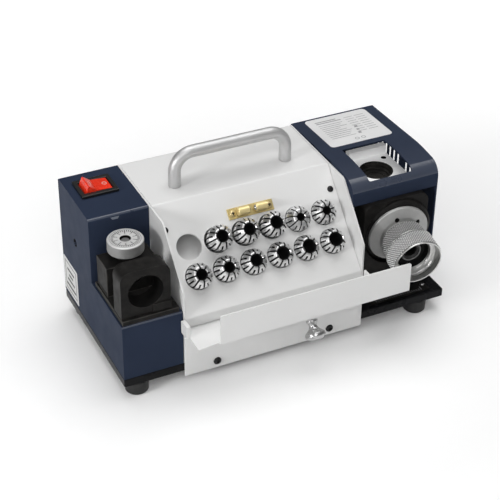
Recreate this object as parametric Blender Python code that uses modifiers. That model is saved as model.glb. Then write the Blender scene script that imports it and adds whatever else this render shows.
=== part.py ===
"""Bench drill bit sharpener for bits of 3 to 13 mm.

Sizes are named in millimetres: x runs right from the left end of the base plate, y runs back
from its front edge, and z runs up from the ground. at() turns a place in those terms into
metres about the origin, which lies under the middle of the whole machine, at ground level.
"""
import math

import bmesh
import bpy
from mathutils import Matrix, Vector

MM = 0.001
GAP = 0.3

# Base plate and rubber feet
WIDTH = 320.0
DEPTH = 148.1
MIDDLE_Y = 54.28
FOOT_HEIGHT = 14.0
FOOT_RADIUS = 11.0
FOOT_X = (12.8, 293.0)
FOOT_Y = (12.0, 136.0)
BASE_TOP = 22.6
SHELL_BOTTOM = BASE_TOP + GAP

# Housings: one flat top, with a low step at the left front for the setting gauge
TOP = 143.6
SHEET = 1.5
STEP_TOP = 78.6
STEP_DEPTH = 71.8
COVER_LEFT = 55.9
COVER_RIGHT = 231.5
CAP_FRONT = 25.7
CAP_BAND_BOTTOM = 121.7
CAP_CREST = (59.0, 147.2)
CAP_ROLL = 14.0
CAP_OPENING_LOW = (250.0, 34.4, 128.0)
CAP_OPENING_HIGH = (295.2, 81.5, 152.0)
VENT_SLOTS = (0, 1, 4, 5, 6, 7, 8)
VENT_PITCH = 7.4
VENT_WIDTH = 4.6
VENT_FIRST_Y = 71.5
VENT_LOW = 97.0
VENT_HIGH = 122.0
BACK_VENT_COUNT = 8
BACK_VENT_PITCH = 13.5
BACK_VENT_FIRST_X = 96.0

# Slanted collet panel, set back between two proud side cheeks
PANEL_TOP_Y = 70.7
PANEL_FOOT_Y = 0.4
PANEL_FOOT_Z = 69.4
CHEEK_SLANT_LOW = 96.9
CHEEK_SLANT_TOP_Y = 42.3

# Drawer under the panel
DRAWER_FLOOR = 59.0
DRAWER_SHEET = 1.2
DRAWER_FRONT = -30.0
DRAWER_BACK = 50.0
DRAWER_LIP_TOP = 87.3
DRAWER_LIP_LEFT = 77.0
DRAWER_LIP_RIGHT = 262.5
DRAWER_KNOB = (167.0, -23.9, 52.2)
DRAWER_KNOB_AXIS = (0.0, -0.61, -0.79)

# Collets stored in the panel: places along it, and how far each one stands out
COLLET_RADIUS = 11.2
COLLET_LENGTH = 31.5
COLLET_SIDES = 16
HOLE_RADIUS = 11.6
COLUMN_FIRST_X = 80.0
COLUMN_PITCH = 26.2
ROW_UPPER = 42.6
ROW_LOWER = 69.6
UPPER_BORES = (10.0, 9.0, 10.5, 5.0, 6.0)
UPPER_HEIGHTS = (17.5, 17.0, 16.5, 10.0, 9.5)
LOWER_BORES = (9.0, 7.5, 10.5, 11.5, 12.0, 13.0)
LOWER_HEIGHTS = (12.0, 11.5, 11.0, 10.5, 9.5, 10.0)
RACK_DEPTH = 24.0
RACK_THICKNESS = 2.5

# Brass double ball catch on the panel
CATCH_X = 144.3
CATCH_DOWN = 24.0

# Carry handle
HANDLE_X = (89.0, 197.5)
HANDLE_Y = 93.0
HANDLE_RADIUS = 5.6
HANDLE_HEIGHT = 36.6
HANDLE_BEND = 17.0

# Mains switch
SWITCH = (24.5, 118.3, 141.5)
SWITCH_TILT = math.radians(14)
ROCKER_RADIUS = 13.0
ROCKER_TIP = 11.5

# Length setting gauge on the step
GAUGE_BORE = (24.2, 4.0, 107.1)
GAUGE_BORE_RADIUS = 15.6
GAUGE_DIAL = (24.7, 49.5, 112.8)

# Grinding port, which turns about an upright axis, and the collet chuck in it
PORT_BOTTOM = 24.4
PORT_TOP = 121.3
PORT_HALF = 33.0
PORT_PIVOT = (275.4, 36.0, PORT_BOTTOM)
CHUCK = (277.0, 17.0, 86.1)
CHUCK_YAW = math.radians(5.4)
CHUCK_PITCH = math.radians(5.8)
CHUCK_STEPS = 24

# Bracket of the web thinning port, under the opening in the cap
BRACKET_RIGHT = 307.5

# Motor and grinding wheel inside
MOTOR_Y = 104.0
MOTOR_Z = 75.0
MOTOR_RADIUS = 36.0
SHAFT_RADIUS = 5.0

PARTS = "drill_bit_sharpener"
CUTTERS = "cutters"


def at(x, y, z):
    """A place in machine millimetres as metres about the origin."""
    return Vector((x - WIDTH / 2, y - MIDDLE_Y, z)) * MM


def clear_scene():
    for item in list(bpy.data.objects):
        bpy.data.objects.remove(item, do_unlink=True)


def make_collection(name):
    group = bpy.data.collections.new(name)
    bpy.context.scene.collection.children.link(group)
    return group


def make_material(name, colour, roughness, metallic):
    material = bpy.data.materials.new(name)
    material.use_nodes = True
    shader = material.node_tree.nodes["Principled BSDF"]
    shader.inputs["Base Color"].default_value = (*colour, 1.0)
    shader.inputs["Roughness"].default_value = roughness
    shader.inputs["Metallic"].default_value = metallic
    material.diffuse_color = (*colour, 1.0)
    return material


FINISHES = {
    "navy_paint": ((0.030, 0.042, 0.075), 0.42, 0.0),
    "white_paint": ((0.72, 0.72, 0.71), 0.45, 0.0),
    "black_paint": ((0.010, 0.010, 0.011), 0.28, 0.0),
    "black_oxide": ((0.020, 0.019, 0.018), 0.50, 0.3),
    "rubber": ((0.012, 0.012, 0.012), 0.75, 0.0),
    "polished_steel": ((0.66, 0.66, 0.66), 0.16, 1.0),
    "turned_steel": ((0.52, 0.52, 0.51), 0.33, 1.0),
    "satin_aluminium": ((0.60, 0.61, 0.62), 0.38, 1.0),
    "brass": ((0.80, 0.62, 0.28), 0.28, 1.0),
    "black_plastic": ((0.012, 0.012, 0.012), 0.38, 0.0),
    "red_plastic": ((0.72, 0.045, 0.020), 0.30, 0.0),
    "white_plastic": ((0.66, 0.66, 0.65), 0.50, 0.0),
    "motor_steel": ((0.16, 0.17, 0.18), 0.45, 0.8),
    "abrasive": ((0.23, 0.20, 0.15), 0.90, 0.0),
}


def finished(shape):
    mesh = bpy.data.meshes.new("shape")
    shape.to_mesh(mesh)
    shape.free()
    return mesh


def box_mesh(low, high):
    """A box between two corners given in machine millimetres."""
    low, high = at(*low), at(*high)
    shape = bmesh.new()
    place = Matrix.Translation((low + high) / 2) @ Matrix.Diagonal((*(high - low), 1))
    bmesh.ops.create_cube(shape, size=1, matrix=place)
    return finished(shape)


def rod_mesh(start, end, radius, sides=16):
    """A round bar of a radius in millimetres between two points in metres."""
    axis = end - start
    turn = axis.to_track_quat("Z", "Y").to_matrix().to_4x4()
    shape = bmesh.new()
    bmesh.ops.create_cone(shape, cap_ends=True, segments=sides, radius1=radius * MM,
                          radius2=radius * MM, depth=axis.length,
                          matrix=Matrix.Translation((start + end) / 2) @ turn)
    return finished(shape)


PLANES = {
    "xy": Matrix(((1, 0, 0), (0, 1, 0), (0, 0, 1))).to_4x4(),
    "yz": Matrix(((0, 0, 1), (1, 0, 0), (0, 1, 0))).to_4x4(),
    "xz": Matrix(((1, 0, 0), (0, 0, -1), (0, 1, 0))).to_4x4(),
}


def prism_mesh(outline, low, high, plane):
    """A flat outline in machine millimetres, extruded between two places on the third axis."""
    curve = bpy.data.curves.new("outline", "CURVE")
    curve.dimensions = "2D"
    curve.fill_mode = "BOTH"
    curve.extrude = (high - low) / 2 * MM
    spline = curve.splines.new("POLY")
    spline.points.add(len(outline) - 1)
    for point, (across, up) in zip(spline.points, outline):
        point.co = (across * MM, up * MM, 0, 1)
    spline.use_cyclic_u = True
    holder = bpy.data.objects.new("outline", curve)
    bpy.context.scene.collection.objects.link(holder)
    middle = (low + high) / 2
    place = {"yz": at(middle, 0, 0), "xz": at(0, middle, 0), "xy": at(0, 0, middle)}[plane]
    depsgraph = bpy.context.evaluated_depsgraph_get()
    mesh = bpy.data.meshes.new_from_object(holder.evaluated_get(depsgraph))
    mesh.transform(Matrix.Translation(place) @ PLANES[plane])
    bpy.data.objects.remove(holder, do_unlink=True)
    bpy.data.curves.remove(curve)
    shape = bmesh.new()
    shape.from_mesh(mesh)
    bpy.data.meshes.remove(mesh)
    bmesh.ops.remove_doubles(shape, verts=shape.verts, dist=0.00001)
    bmesh.ops.recalc_face_normals(shape, faces=shape.faces)
    return finished(shape)


def rounded(points, radii, steps=3):
    """An outline whose corners are arcs: one radius for each corner, 0 where it stays sharp."""
    result = []
    count = len(points)
    for index, radius in enumerate(radii):
        corner = Vector(points[index])
        if not radius:
            result.append(tuple(corner))
            continue
        before = (Vector(points[index - 1]) - corner).normalized()
        after = (Vector(points[(index + 1) % count]) - corner).normalized()
        half = before.angle(after) / 2
        centre = corner + (before + after).normalized() * radius / math.sin(half)
        first = corner + before * radius / math.tan(half) - centre
        last = corner + after * radius / math.tan(half) - centre
        start = math.atan2(first.y, first.x)
        sweep = math.atan2(first.x * last.y - first.y * last.x, first.dot(last))
        for step in range(steps + 1):
            angle = start + sweep * step / steps
            result.append((centre.x + radius * math.cos(angle), centre.y + radius * math.sin(angle)))
    return result


def strip(line, thickness):
    """The outline of a bent sheet: an open line, and the same line set off to its left."""
    points = [Vector(point) for point in line]
    normals = []
    for first, second in zip(points, points[1:]):
        run = (second - first).normalized()
        normals.append(Vector((-run.y, run.x)))
    inner = []
    for index, point in enumerate(points):
        before = normals[max(index - 1, 0)]
        after = normals[min(index, len(normals) - 1)]
        inner.append(tuple(point + (before + after) * thickness / (1 + before.dot(after))))
    return [tuple(point) for point in points] + inner[::-1]


def bevel_edges(mesh, width, wanted, segments=2):
    """Rounds the edges whose two ends both pass a test on their place in metres."""
    shape = bmesh.new()
    shape.from_mesh(mesh)
    edges = [edge for edge in shape.edges
             if all(wanted(vert.co) for vert in edge.verts)
             and len(edge.link_faces) == 2
             and edge.calc_face_angle() > math.radians(50)]
    bmesh.ops.bevel(shape, geom=edges, offset=width * MM, offset_type="OFFSET",
                    segments=segments, profile=0.5, affect="EDGES", clamp_overlap=True)
    shape.to_mesh(mesh)
    shape.free()
    return mesh


def add_piece(name, mesh, finish, origin=None):
    """A node from a mesh whose points are in place; its origin moves to a point in metres."""
    origin = origin or Vector((0, 0, 0))
    mesh.name = name
    mesh.transform(Matrix.Translation(-origin))
    piece = bpy.data.objects.new(name, mesh)
    piece.location = origin
    piece.data.materials.append(make_material(f"{name}_finish", *FINISHES[finish]))
    bpy.data.collections[PARTS].objects.link(piece)
    return piece


def add_turned(name, profile, origin, axis, finish, steps=16, closed=True):
    """A turned node: (radius, height) points down its outer side, height along the axis."""
    shape = bmesh.new()
    ring = [shape.verts.new((radius * MM, 0, height * MM)) for radius, height in profile]
    for first, second in zip(ring, ring[1:]):
        shape.edges.new((first, second))
    if closed:
        shape.edges.new((ring[-1], ring[0]))
    piece = bpy.data.objects.new(name, finished(shape))
    piece.location = origin
    piece.rotation_euler = Vector(axis).to_track_quat("Z", "Y").to_euler()
    turn = piece.modifiers.new("Turn", "SCREW")
    turn.angle = 2 * math.pi
    turn.steps = steps
    turn.render_steps = steps
    turn.use_merge_vertices = True
    turn.merge_threshold = 0.00001
    turn.use_smooth_shade = False
    piece.data.materials.append(make_material(f"{name}_finish", *FINISHES[finish]))
    bpy.data.collections[PARTS].objects.link(piece)
    return piece


def tool(name, mesh):
    """A cutter or an added shape: never rendered and no node of its own."""
    mesh.name = name
    shape = bpy.data.objects.new(name, mesh)
    bpy.data.collections[CUTTERS].objects.link(shape)
    return hidden(shape)


def hidden(shape):
    shape.hide_render = True
    shape.display_type = "WIRE"
    return shape


def combine(piece, other, operation):
    step = piece.modifiers.new(f"{operation.title()} {other.name}", "BOOLEAN")
    step.operation = operation
    step.object = other
    step.solver = "EXACT"


def cut(piece, name, mesh):
    combine(piece, tool(f"{name}_cut", mesh), "DIFFERENCE")


def join(piece, name, mesh):
    combine(piece, tool(f"{name}_joined", mesh), "UNION")


def many(meshes):
    """Several separate shapes in one mesh, for a cutter that cuts them all."""
    shape = bmesh.new()
    for mesh in meshes:
        shape.from_mesh(mesh)
        bpy.data.meshes.remove(mesh)
    return finished(shape)


def panel_point(x, down, out):
    """A place on the slanted panel: x, distance down it from its top fold, height above it."""
    slope = Vector((PANEL_FOOT_Y - PANEL_TOP_Y, PANEL_FOOT_Z - TOP)).normalized()
    y = PANEL_TOP_Y + slope.x * down + slope.y * out
    z = TOP + slope.y * down - slope.x * out
    return at(x, y, z)


def panel_normal():
    return (panel_point(0, 0, 1) - panel_point(0, 0, 0)).normalized()


def collet_places():
    """Name, x, distance down the panel, height and bore of each stored collet."""
    places = []
    for index, (bore, height) in enumerate(zip(UPPER_BORES, UPPER_HEIGHTS)):
        x = COLUMN_FIRST_X + COLUMN_PITCH * (index + 1)
        places.append((f"collet_upper_{index + 1}", x, ROW_UPPER, height, bore))
    for index, (bore, height) in enumerate(zip(LOWER_BORES, LOWER_HEIGHTS)):
        x = COLUMN_FIRST_X + COLUMN_PITCH * index
        places.append((f"collet_lower_{index + 1}", x, ROW_LOWER, height, bore))
    return places


def panel_hole_tools(radius, depth, sides):
    """Bars along the panel's normal at all twelve storage holes."""
    bars = []
    for row in (ROW_UPPER, ROW_LOWER):
        for column in range(6):
            x = COLUMN_FIRST_X + COLUMN_PITCH * column
            bars.append(rod_mesh(panel_point(x, row, -depth), panel_point(x, row, 6), radius, sides))
    return many(bars)


def build_base():
    low = (0, 0, FOOT_HEIGHT)
    plate = bevel_edges(box_mesh(low, (WIDTH, DEPTH, BASE_TOP)), 1.0, lambda place: True)
    add_piece("base_plate", plate, "black_paint")
    height = FOOT_HEIGHT - GAP
    profile = ((0, height), (FOOT_RADIUS, height), (FOOT_RADIUS * 0.93, 1.5),
               (FOOT_RADIUS * 0.80, 0), (0, 0))
    for side, x in zip(("left", "right"), FOOT_X):
        for end, y in zip(("front", "rear"), FOOT_Y):
            add_turned(f"foot_{end}_{side}", profile, at(x, y, 0), (0, 0, 1), "rubber", closed=False)


def build_left_housing():
    outer = rounded(((0, SHELL_BOTTOM), (0, STEP_TOP), (STEP_DEPTH, STEP_TOP),
                     (STEP_DEPTH, TOP), (DEPTH, TOP), (DEPTH, SHELL_BOTTOM)),
                    (0, 1.5, 0, 3.0, 3.0, 0))
    right = COVER_LEFT - GAP
    left_x = at(0, 0, 0).x + 0.0001
    shell = bevel_edges(prism_mesh(outer, 0, right, "yz"), 1.2, lambda place: place.x < left_x)
    housing = add_piece("left_housing", shell, "navy_paint")
    inner = ((SHEET, 10), (SHEET, STEP_TOP - SHEET), (STEP_DEPTH + SHEET, STEP_TOP - SHEET),
             (STEP_DEPTH + SHEET, TOP - SHEET), (DEPTH - SHEET, TOP - SHEET), (DEPTH - SHEET, 10))
    cut(housing, "left_housing_inside", prism_mesh(inner, SHEET, right + 10, "yz"))
    x, y, z = SWITCH
    cut(housing, "switch_window", box_mesh((x - 14.6, y - 10.6, z - 5), (x + 14.6, y + 10.6, z + 9)))
    cut(housing, "inlet_window", box_mesh((14.7, DEPTH - 6, 41.7), (41.3, DEPTH + 6, 61.3)))
    hole = rod_mesh(at(-3, 110.4, 97.1), at(6, 110.4, 97.1), 2.2, 12)
    cut(housing, "left_side_hole", hole)


def cap_line(inset):
    """The cap's side line from the foot of its front band, round the roll and back over the crest."""
    front = CAP_FRONT + inset
    crest_y, crest_z = CAP_CREST
    points = ((front, CAP_BAND_BOTTOM), (front, TOP - inset), (crest_y, crest_z - inset),
              (DEPTH - inset, TOP - inset))
    return rounded(points, (0, CAP_ROLL - inset, 150.0, 0), 6)


def build_right_housing():
    left = COVER_RIGHT + GAP
    outer = [(CAP_FRONT, SHELL_BOTTOM)] + cap_line(0)[1:] + [(DEPTH, SHELL_BOTTOM)]
    right_x = at(WIDTH, 0, 0).x - 0.0001
    shell = bevel_edges(prism_mesh(outer, left, WIDTH, "yz"), 1.2, lambda place: place.x > right_x)
    housing = add_piece("right_housing", shell, "navy_paint")
    inner = cap_line(SHEET)
    inner = [(5.0, 10.0), (5.0, CAP_BAND_BOTTOM)] + inner + [(DEPTH - SHEET, 10.0)]
    cut(housing, "cap_inside", prism_mesh(inner, left - 10, WIDTH - SHEET, "yz"))
    cut(housing, "cap_opening", box_mesh(CAP_OPENING_LOW, CAP_OPENING_HIGH))
    slots = []
    half = VENT_WIDTH / 2
    for index in VENT_SLOTS:
        y = VENT_FIRST_Y + VENT_PITCH * index
        slots.append(box_mesh((WIDTH - 6, y - half, VENT_LOW), (WIDTH + 6, y + half, VENT_HIGH)))
    cut(housing, "side_vents", many(slots))


def build_cover():
    back = DEPTH
    corners = ((back, SHELL_BOTTOM), (back, TOP), (PANEL_TOP_Y, TOP),
               (PANEL_FOOT_Y, PANEL_FOOT_Z), (PANEL_FOOT_Y, DRAWER_FLOOR + 0.6))
    line = rounded(corners, (0, 3.4, 2.5, 2.5, 0))
    outline = strip(line, SHEET)
    inner_left = COVER_LEFT + SHEET + GAP
    inner_right = COVER_RIGHT - SHEET - GAP
    cover = add_piece("centre_cover", prism_mesh(outline, inner_left, inner_right, "yz"), "white_paint")
    cut(cover, "cover_holes", panel_hole_tools(HOLE_RADIUS, 8, COLLET_SIDES))
    slots = []
    for index in range(BACK_VENT_COUNT):
        x = BACK_VENT_FIRST_X + BACK_VENT_PITCH * index
        slots.append(box_mesh((x - 1.5, back - 6, 58), (x + 1.5, back + 6, 104)))
    cut(cover, "back_vents", many(slots))
    cheek = ((0, SHELL_BOTTOM), (0, CHEEK_SLANT_LOW), (CHEEK_SLANT_TOP_Y, TOP), (back, TOP),
             (back, SHELL_BOTTOM))
    cheek = rounded(cheek, (0, 5.0, 7.0, 3.0, 0))
    add_piece("left_cheek", prism_mesh(cheek, COVER_LEFT, COVER_LEFT + SHEET, "yz"), "white_paint")
    right = prism_mesh(cheek, COVER_RIGHT - SHEET, COVER_RIGHT, "yz")
    right_cheek = add_piece("right_cheek", right, "white_paint")
    shaft = rod_mesh(at(COVER_RIGHT - 8, MOTOR_Y, MOTOR_Z), at(COVER_RIGHT + 8, MOTOR_Y, MOTOR_Z), 14)
    cut(right_cheek, "shaft_window", shaft)
    plate = box_mesh((COVER_LEFT, -1.8, 9.3), (COVER_RIGHT, -GAP, DRAWER_FLOOR - DRAWER_SHEET - 0.6))
    add_piece("front_plate", plate, "white_paint")


def build_rack():
    """The plate behind the panel that closes the storage holes."""
    corners = []
    bottom = -RACK_DEPTH - RACK_THICKNESS
    for down, out in ((27, -RACK_DEPTH), (87, -RACK_DEPTH), (87, bottom), (27, bottom)):
        place = panel_point(0, down, out) / MM
        corners.append((place.y + MIDDLE_Y, place.z))
    add_piece("collet_rack", prism_mesh(corners, 62, 225.5, "yz"), "white_plastic")


def build_collets():
    for name, x, down, height, bore in collet_places():
        radius = bore / 2
        face = max(7.4, radius + 1.3)
        profile = ((radius, 0), (face, 0), (COLLET_RADIUS, -5.4), (COLLET_RADIUS, -6.8),
                   (9.9, -7.4), (9.9, -9.3), (COLLET_RADIUS, -9.9), (7.6, -COLLET_LENGTH),
                   (radius, -COLLET_LENGTH))
        add_turned(name, profile, panel_point(x, down, height), panel_normal(), "polished_steel",
                   steps=COLLET_SIDES)


def build_catch():
    """Two short barrels on a plate, each with a sprung ball that faces the gap between them."""
    corners = []
    for down, out in ((-5, GAP), (5, GAP), (5, 1.5), (-5, 1.5)):
        place = panel_point(0, CATCH_DOWN + down, out) / MM
        corners.append((place.y + MIDDLE_Y, place.z))
    add_piece("catch_plate", prism_mesh(corners, CATCH_X - 22, CATCH_X + 22, "yz"), "brass")
    for side, sign in (("left", -1), ("right", 1)):
        mouth = panel_point(CATCH_X + sign * 3.0, CATCH_DOWN, 5.6)
        profile = ((0, -7.5), (2.75, -7.5), (2.75, 0), (3.7, 0), (3.7, -11), (0, -11))
        axis = (-sign, 0, 0)
        add_turned(f"catch_barrel_{side}", profile, mouth, axis, "brass", steps=12, closed=False)
        shape = bmesh.new()
        ball = mouth + Vector((sign * 1.0 * MM, 0, 0))
        bmesh.ops.create_uvsphere(shape, u_segments=10, v_segments=6, radius=2.5 * MM,
                                  matrix=Matrix.Translation(ball))
        add_piece(f"catch_ball_{side}", finished(shape), "polished_steel", ball)


def build_drawer():
    back = DRAWER_BACK
    floor = ((60, back), (60, -0.6), (56.5, -0.6), (56.5, DRAWER_FRONT - 1.0),
             (DRAWER_LIP_LEFT - 0.6, DRAWER_FRONT + 1.6), (DRAWER_LIP_LEFT, DRAWER_FRONT),
             (DRAWER_LIP_RIGHT, DRAWER_FRONT), (DRAWER_LIP_RIGHT, -0.6), (227, -0.6), (227, back))
    bottom = DRAWER_FLOOR - DRAWER_SHEET
    drawer = add_piece("drawer", prism_mesh(floor, bottom, DRAWER_FLOOR, "xy"), "white_paint")
    lip_outline = rounded(((DRAWER_LIP_LEFT, bottom + 0.2), (DRAWER_LIP_RIGHT, bottom + 0.2),
                           (DRAWER_LIP_RIGHT, DRAWER_LIP_TOP), (DRAWER_LIP_LEFT, DRAWER_LIP_TOP)),
                          (0, 2.0, 2.0, 1.0))
    lip = prism_mesh(lip_outline, DRAWER_FRONT - 0.1, DRAWER_FRONT + DRAWER_SHEET, "xz")
    join(drawer, "drawer_lip", lip)
    join(drawer, "drawer_back", box_mesh((60.2, back - 1.4, bottom + 0.2), (226.8, back - 0.2, 63.0)))
    left_ear = box_mesh((53.4, -12.0, bottom + 0.2), (57.0, -0.8, 70.6))
    join(drawer, "drawer_left_ear", left_ear)
    right_ear = box_mesh((231.8, -12.0, bottom + 0.2), (233.3, -0.8, 70.6))
    join(drawer, "drawer_right_ear", right_ear)
    x = DRAWER_KNOB[0]
    wedge = ((DRAWER_FRONT + 2, bottom + 0.3), (-13.0, bottom + 0.3), (-13.0, 46.0),
             (DRAWER_FRONT + 2, bottom - 0.5))
    join(drawer, "drawer_knob_seat", prism_mesh(wedge, x - 9, x + 9, "yz"))
    seat = at(*DRAWER_KNOB)
    profile = ((0, 18.7), (5.2, 18.4), (8.6, 16.7), (9.4, 14.4), (8.6, 12.9), (5.4, 9.6), (3.6, 6.6),
               (3.4, 3.9), (5.2, 1.8), (5.2, 1.0), (0, 1.0))
    add_turned("drawer_knob", profile, seat, DRAWER_KNOB_AXIS, "polished_steel", closed=False)


def build_handle():
    """A bow of round bar, with a tight run of points in each bend."""
    left, right = HANDLE_X
    bottom = TOP + GAP
    top = TOP + HANDLE_HEIGHT
    corners = ((left, bottom), (left, top - HANDLE_RADIUS), (right, top - HANDLE_RADIUS), (right, bottom))
    line = rounded(corners, (0, HANDLE_BEND, HANDLE_BEND, 0), 6)
    curve = bpy.data.curves.new("carry_handle", "CURVE")
    curve.dimensions = "3D"
    curve.bevel_depth = HANDLE_RADIUS * MM
    curve.bevel_resolution = 2
    curve.use_fill_caps = True
    spline = curve.splines.new("POLY")
    spline.points.add(len(line) - 1)
    for point, (x, z) in zip(spline.points, line):
        point.co = (*at(x, HANDLE_Y, z), 1)
    handle = bpy.data.objects.new("carry_handle", curve)
    curve.materials.append(make_material("carry_handle_finish", *FINISHES["satin_aluminium"]))
    bpy.data.collections[PARTS].objects.link(handle)


def build_switch():
    x, y, z = SWITCH
    low = TOP + GAP
    frame = bevel_edges(box_mesh((x - 17, y - 14.2, low), (x + 17, y + 14.2, low + 2.6)), 0.8,
                        lambda place: place.z > (low + 1) * MM, 1)
    bezel = add_piece("switch_bezel", frame, "black_plastic")
    join(bezel, "switch_body", box_mesh((x - 14.3, y - 10.3, 124), (x + 14.3, y + 10.3, low + 0.5)))
    cut(bezel, "switch_well", box_mesh((x - 13.4, y - 9.4, 127), (x + 13.4, y + 9.4, low + 9)))
    belly = []
    for step in range(7):
        angle = math.pi + math.pi * step / 6
        belly.append((x + ROCKER_RADIUS * math.cos(angle), z + ROCKER_RADIUS * math.sin(angle)))
    outline = belly + [(x + ROCKER_TIP, z + 7.5), (x + 5, z + 5.0), (x - 5, z + 5.0),
                       (x - ROCKER_TIP, z + 7.5)]
    rocker = prism_mesh(outline, y - 9.0, y + 9.0, "xz")
    piece = add_piece("switch_rocker", rocker, "red_plastic", at(*SWITCH))
    piece.rotation_euler = (0, SWITCH_TILT, 0)


def build_gauge():
    """Bored block and rear block on one flange, with a stop moved by a graduated dial."""
    low = STEP_TOP + GAP
    flange = bevel_edges(box_mesh((1.2, 1.4, low), (53, 66, low + 4.6)), 0.6, lambda place: True, 1)
    base = add_piece("gauge_base", flange, "black_oxide")
    join(base, "gauge_rear", box_mesh((3, 40, low + 1), (49, 64, GAUGE_DIAL[2] - GAP)))
    x, y, z = GAUGE_BORE
    cut(base, "gauge_stem_hole", rod_mesh(at(x, 30, z), at(x, 80, z), 4.4, 12))
    bottom = low + 4.6 + GAP
    outline = rounded(((1.6, bottom), (46.6, bottom), (46.6, 129.9), (1.6, 129.9)), (0, 0, 9.0, 9.0), 4)
    block = add_piece("gauge_block", prism_mesh(outline, y, y + 17, "xz"), "black_oxide")
    cut(block, "gauge_bore", rod_mesh(at(x, y - 8, z), at(x, y + 30, z), GAUGE_BORE_RADIUS, 24))
    join(block, "gauge_ledge", box_mesh((x + 6, y - 1.4, bottom + 1), (46.4, y + 1, bottom + 8.6)))
    plate = box_mesh((x - 11, 25, z - 12), (x + 11, 28.5, z + 12))
    stop = add_piece("gauge_stop", plate, "turned_steel", at(x, 25, z))
    join(stop, "gauge_stem", rod_mesh(at(x, 27, z), at(x, 53, z), 4.0, 12))
    dial = ((4.5, 19.6), (15.2, 19.6), (16.0, 18.6), (16.0, 9.4), (15.4, 8.6), (7.0, 8.6), (7.0, 0),
            (4.5, 0))
    add_turned("gauge_dial", dial, at(*GAUGE_DIAL), (0, 0, 1), "turned_steel", steps=CHUCK_STEPS)
    pivot = ((0, 16.0), (4.1, 16.0), (4.1, 0), (0, 0))
    add_turned("gauge_pivot", pivot, at(*GAUGE_DIAL), (0, 0, 1), "black_oxide", 12, closed=False)


def chuck_axis():
    """The way the chuck points: out of the machine, a little left and a little down."""
    flat = math.cos(CHUCK_PITCH)
    return Vector((-math.sin(CHUCK_YAW) * flat, -math.cos(CHUCK_YAW) * flat, -math.sin(CHUCK_PITCH)))


def build_port():
    left = PORT_PIVOT[0] - PORT_HALF
    right = PORT_PIVOT[0] + PORT_HALF
    outline = rounded(((left, PORT_BOTTOM), (right, PORT_BOTTOM), (right, PORT_TOP), (left, PORT_TOP)),
                      (0, 0, 9.0, 9.0), 3)
    block = add_piece("port_block", prism_mesh(outline, 21, 40, "xz"), "black_oxide", at(*PORT_PIVOT))
    centre = at(*CHUCK)
    axis = chuck_axis()
    pocket = rod_mesh(centre - axis * 9.3 * MM, centre + axis * 12 * MM, 33.4, CHUCK_STEPS)
    cut(block, "port_pocket", pocket)
    cut(block, "port_bore", rod_mesh(centre - axis * 45 * MM, centre + axis * 3 * MM, 20.4, CHUCK_STEPS))
    ring = ((15.9, -3.2), (31.5, -3.2), (33.0, -4.4), (33.0, -9.0), (20.0, -9.0), (20.0, -28.0),
            (15.9, -28.0))
    add_turned("port_sleeve", ring, centre, axis, "black_oxide", CHUCK_STEPS)
    body = ((8.3, 25.7), (11.6, 25.7), (11.6, 23.4), (21.2, 23.4), (21.2, 8.2), (17.2, 8.2), (17.2, 3.8),
            (20.6, 3.8), (28.2, 0), (29.2, -1.0), (29.2, -2.9), (15.6, -2.9), (15.6, -30.0), (8.3, -30.0))
    add_turned("chuck_body", body, centre, axis, "turned_steel", CHUCK_STEPS)
    nut = ((20.9, 42.4), (22.6, 42.4), (23.0, 41.6), (23.0, 24.6), (22.4, 23.8), (12.0, 23.8),
           (12.0, 26.5), (16.0, 27.5), (16.5, 33.5), (18.2, 35.0), (19.8, 35.4))
    add_turned("chuck_nut", nut, centre, axis, "turned_steel", CHUCK_STEPS)
    collet = ((5.2, 30.0), (7.8, 30.0), (8.4, 29.4), (10.4, 27.6), (10.4, 26.0), (7.9, 26.0),
              (7.4, 2.5), (5.2, 2.5))
    add_turned("chuck_collet", collet, centre, axis, "polished_steel")
    plate = box_mesh((246, 4, SHELL_BOTTOM), (308, 17, SHELL_BOTTOM + 1.0))
    add_piece("angle_scale", plate, "black_oxide")


def build_thinning_port():
    plate = box_mesh((264, 53, 115), (BRACKET_RIGHT, 104, 120.9))
    bracket = add_piece("thinning_port", plate, "satin_aluminium")
    right = BRACKET_RIGHT - 0.1
    join(bracket, "thinning_wall", box_mesh((267.5, 97.5, 115.5), (right, 103.8, 129.0)))
    join(bracket, "thinning_leg", box_mesh((right - 3.8, 66, SHELL_BOTTOM), (right, 103.6, 115.6)))
    bore = rod_mesh(at(283.3, 73.6, 100), at(283.3, 73.6, 140), 15.8, CHUCK_STEPS)
    cut(bracket, "thinning_bore", bore)
    guard = box_mesh((COVER_RIGHT + GAP, 60, SHELL_BOTTOM), (304, 61.2, 114.4))
    wheel_guard = add_piece("wheel_guard", guard, "black_paint")
    cut(wheel_guard, "guard_window", rod_mesh(at(274, 50, 92), at(274, 70, 92), 22, 16))


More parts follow.
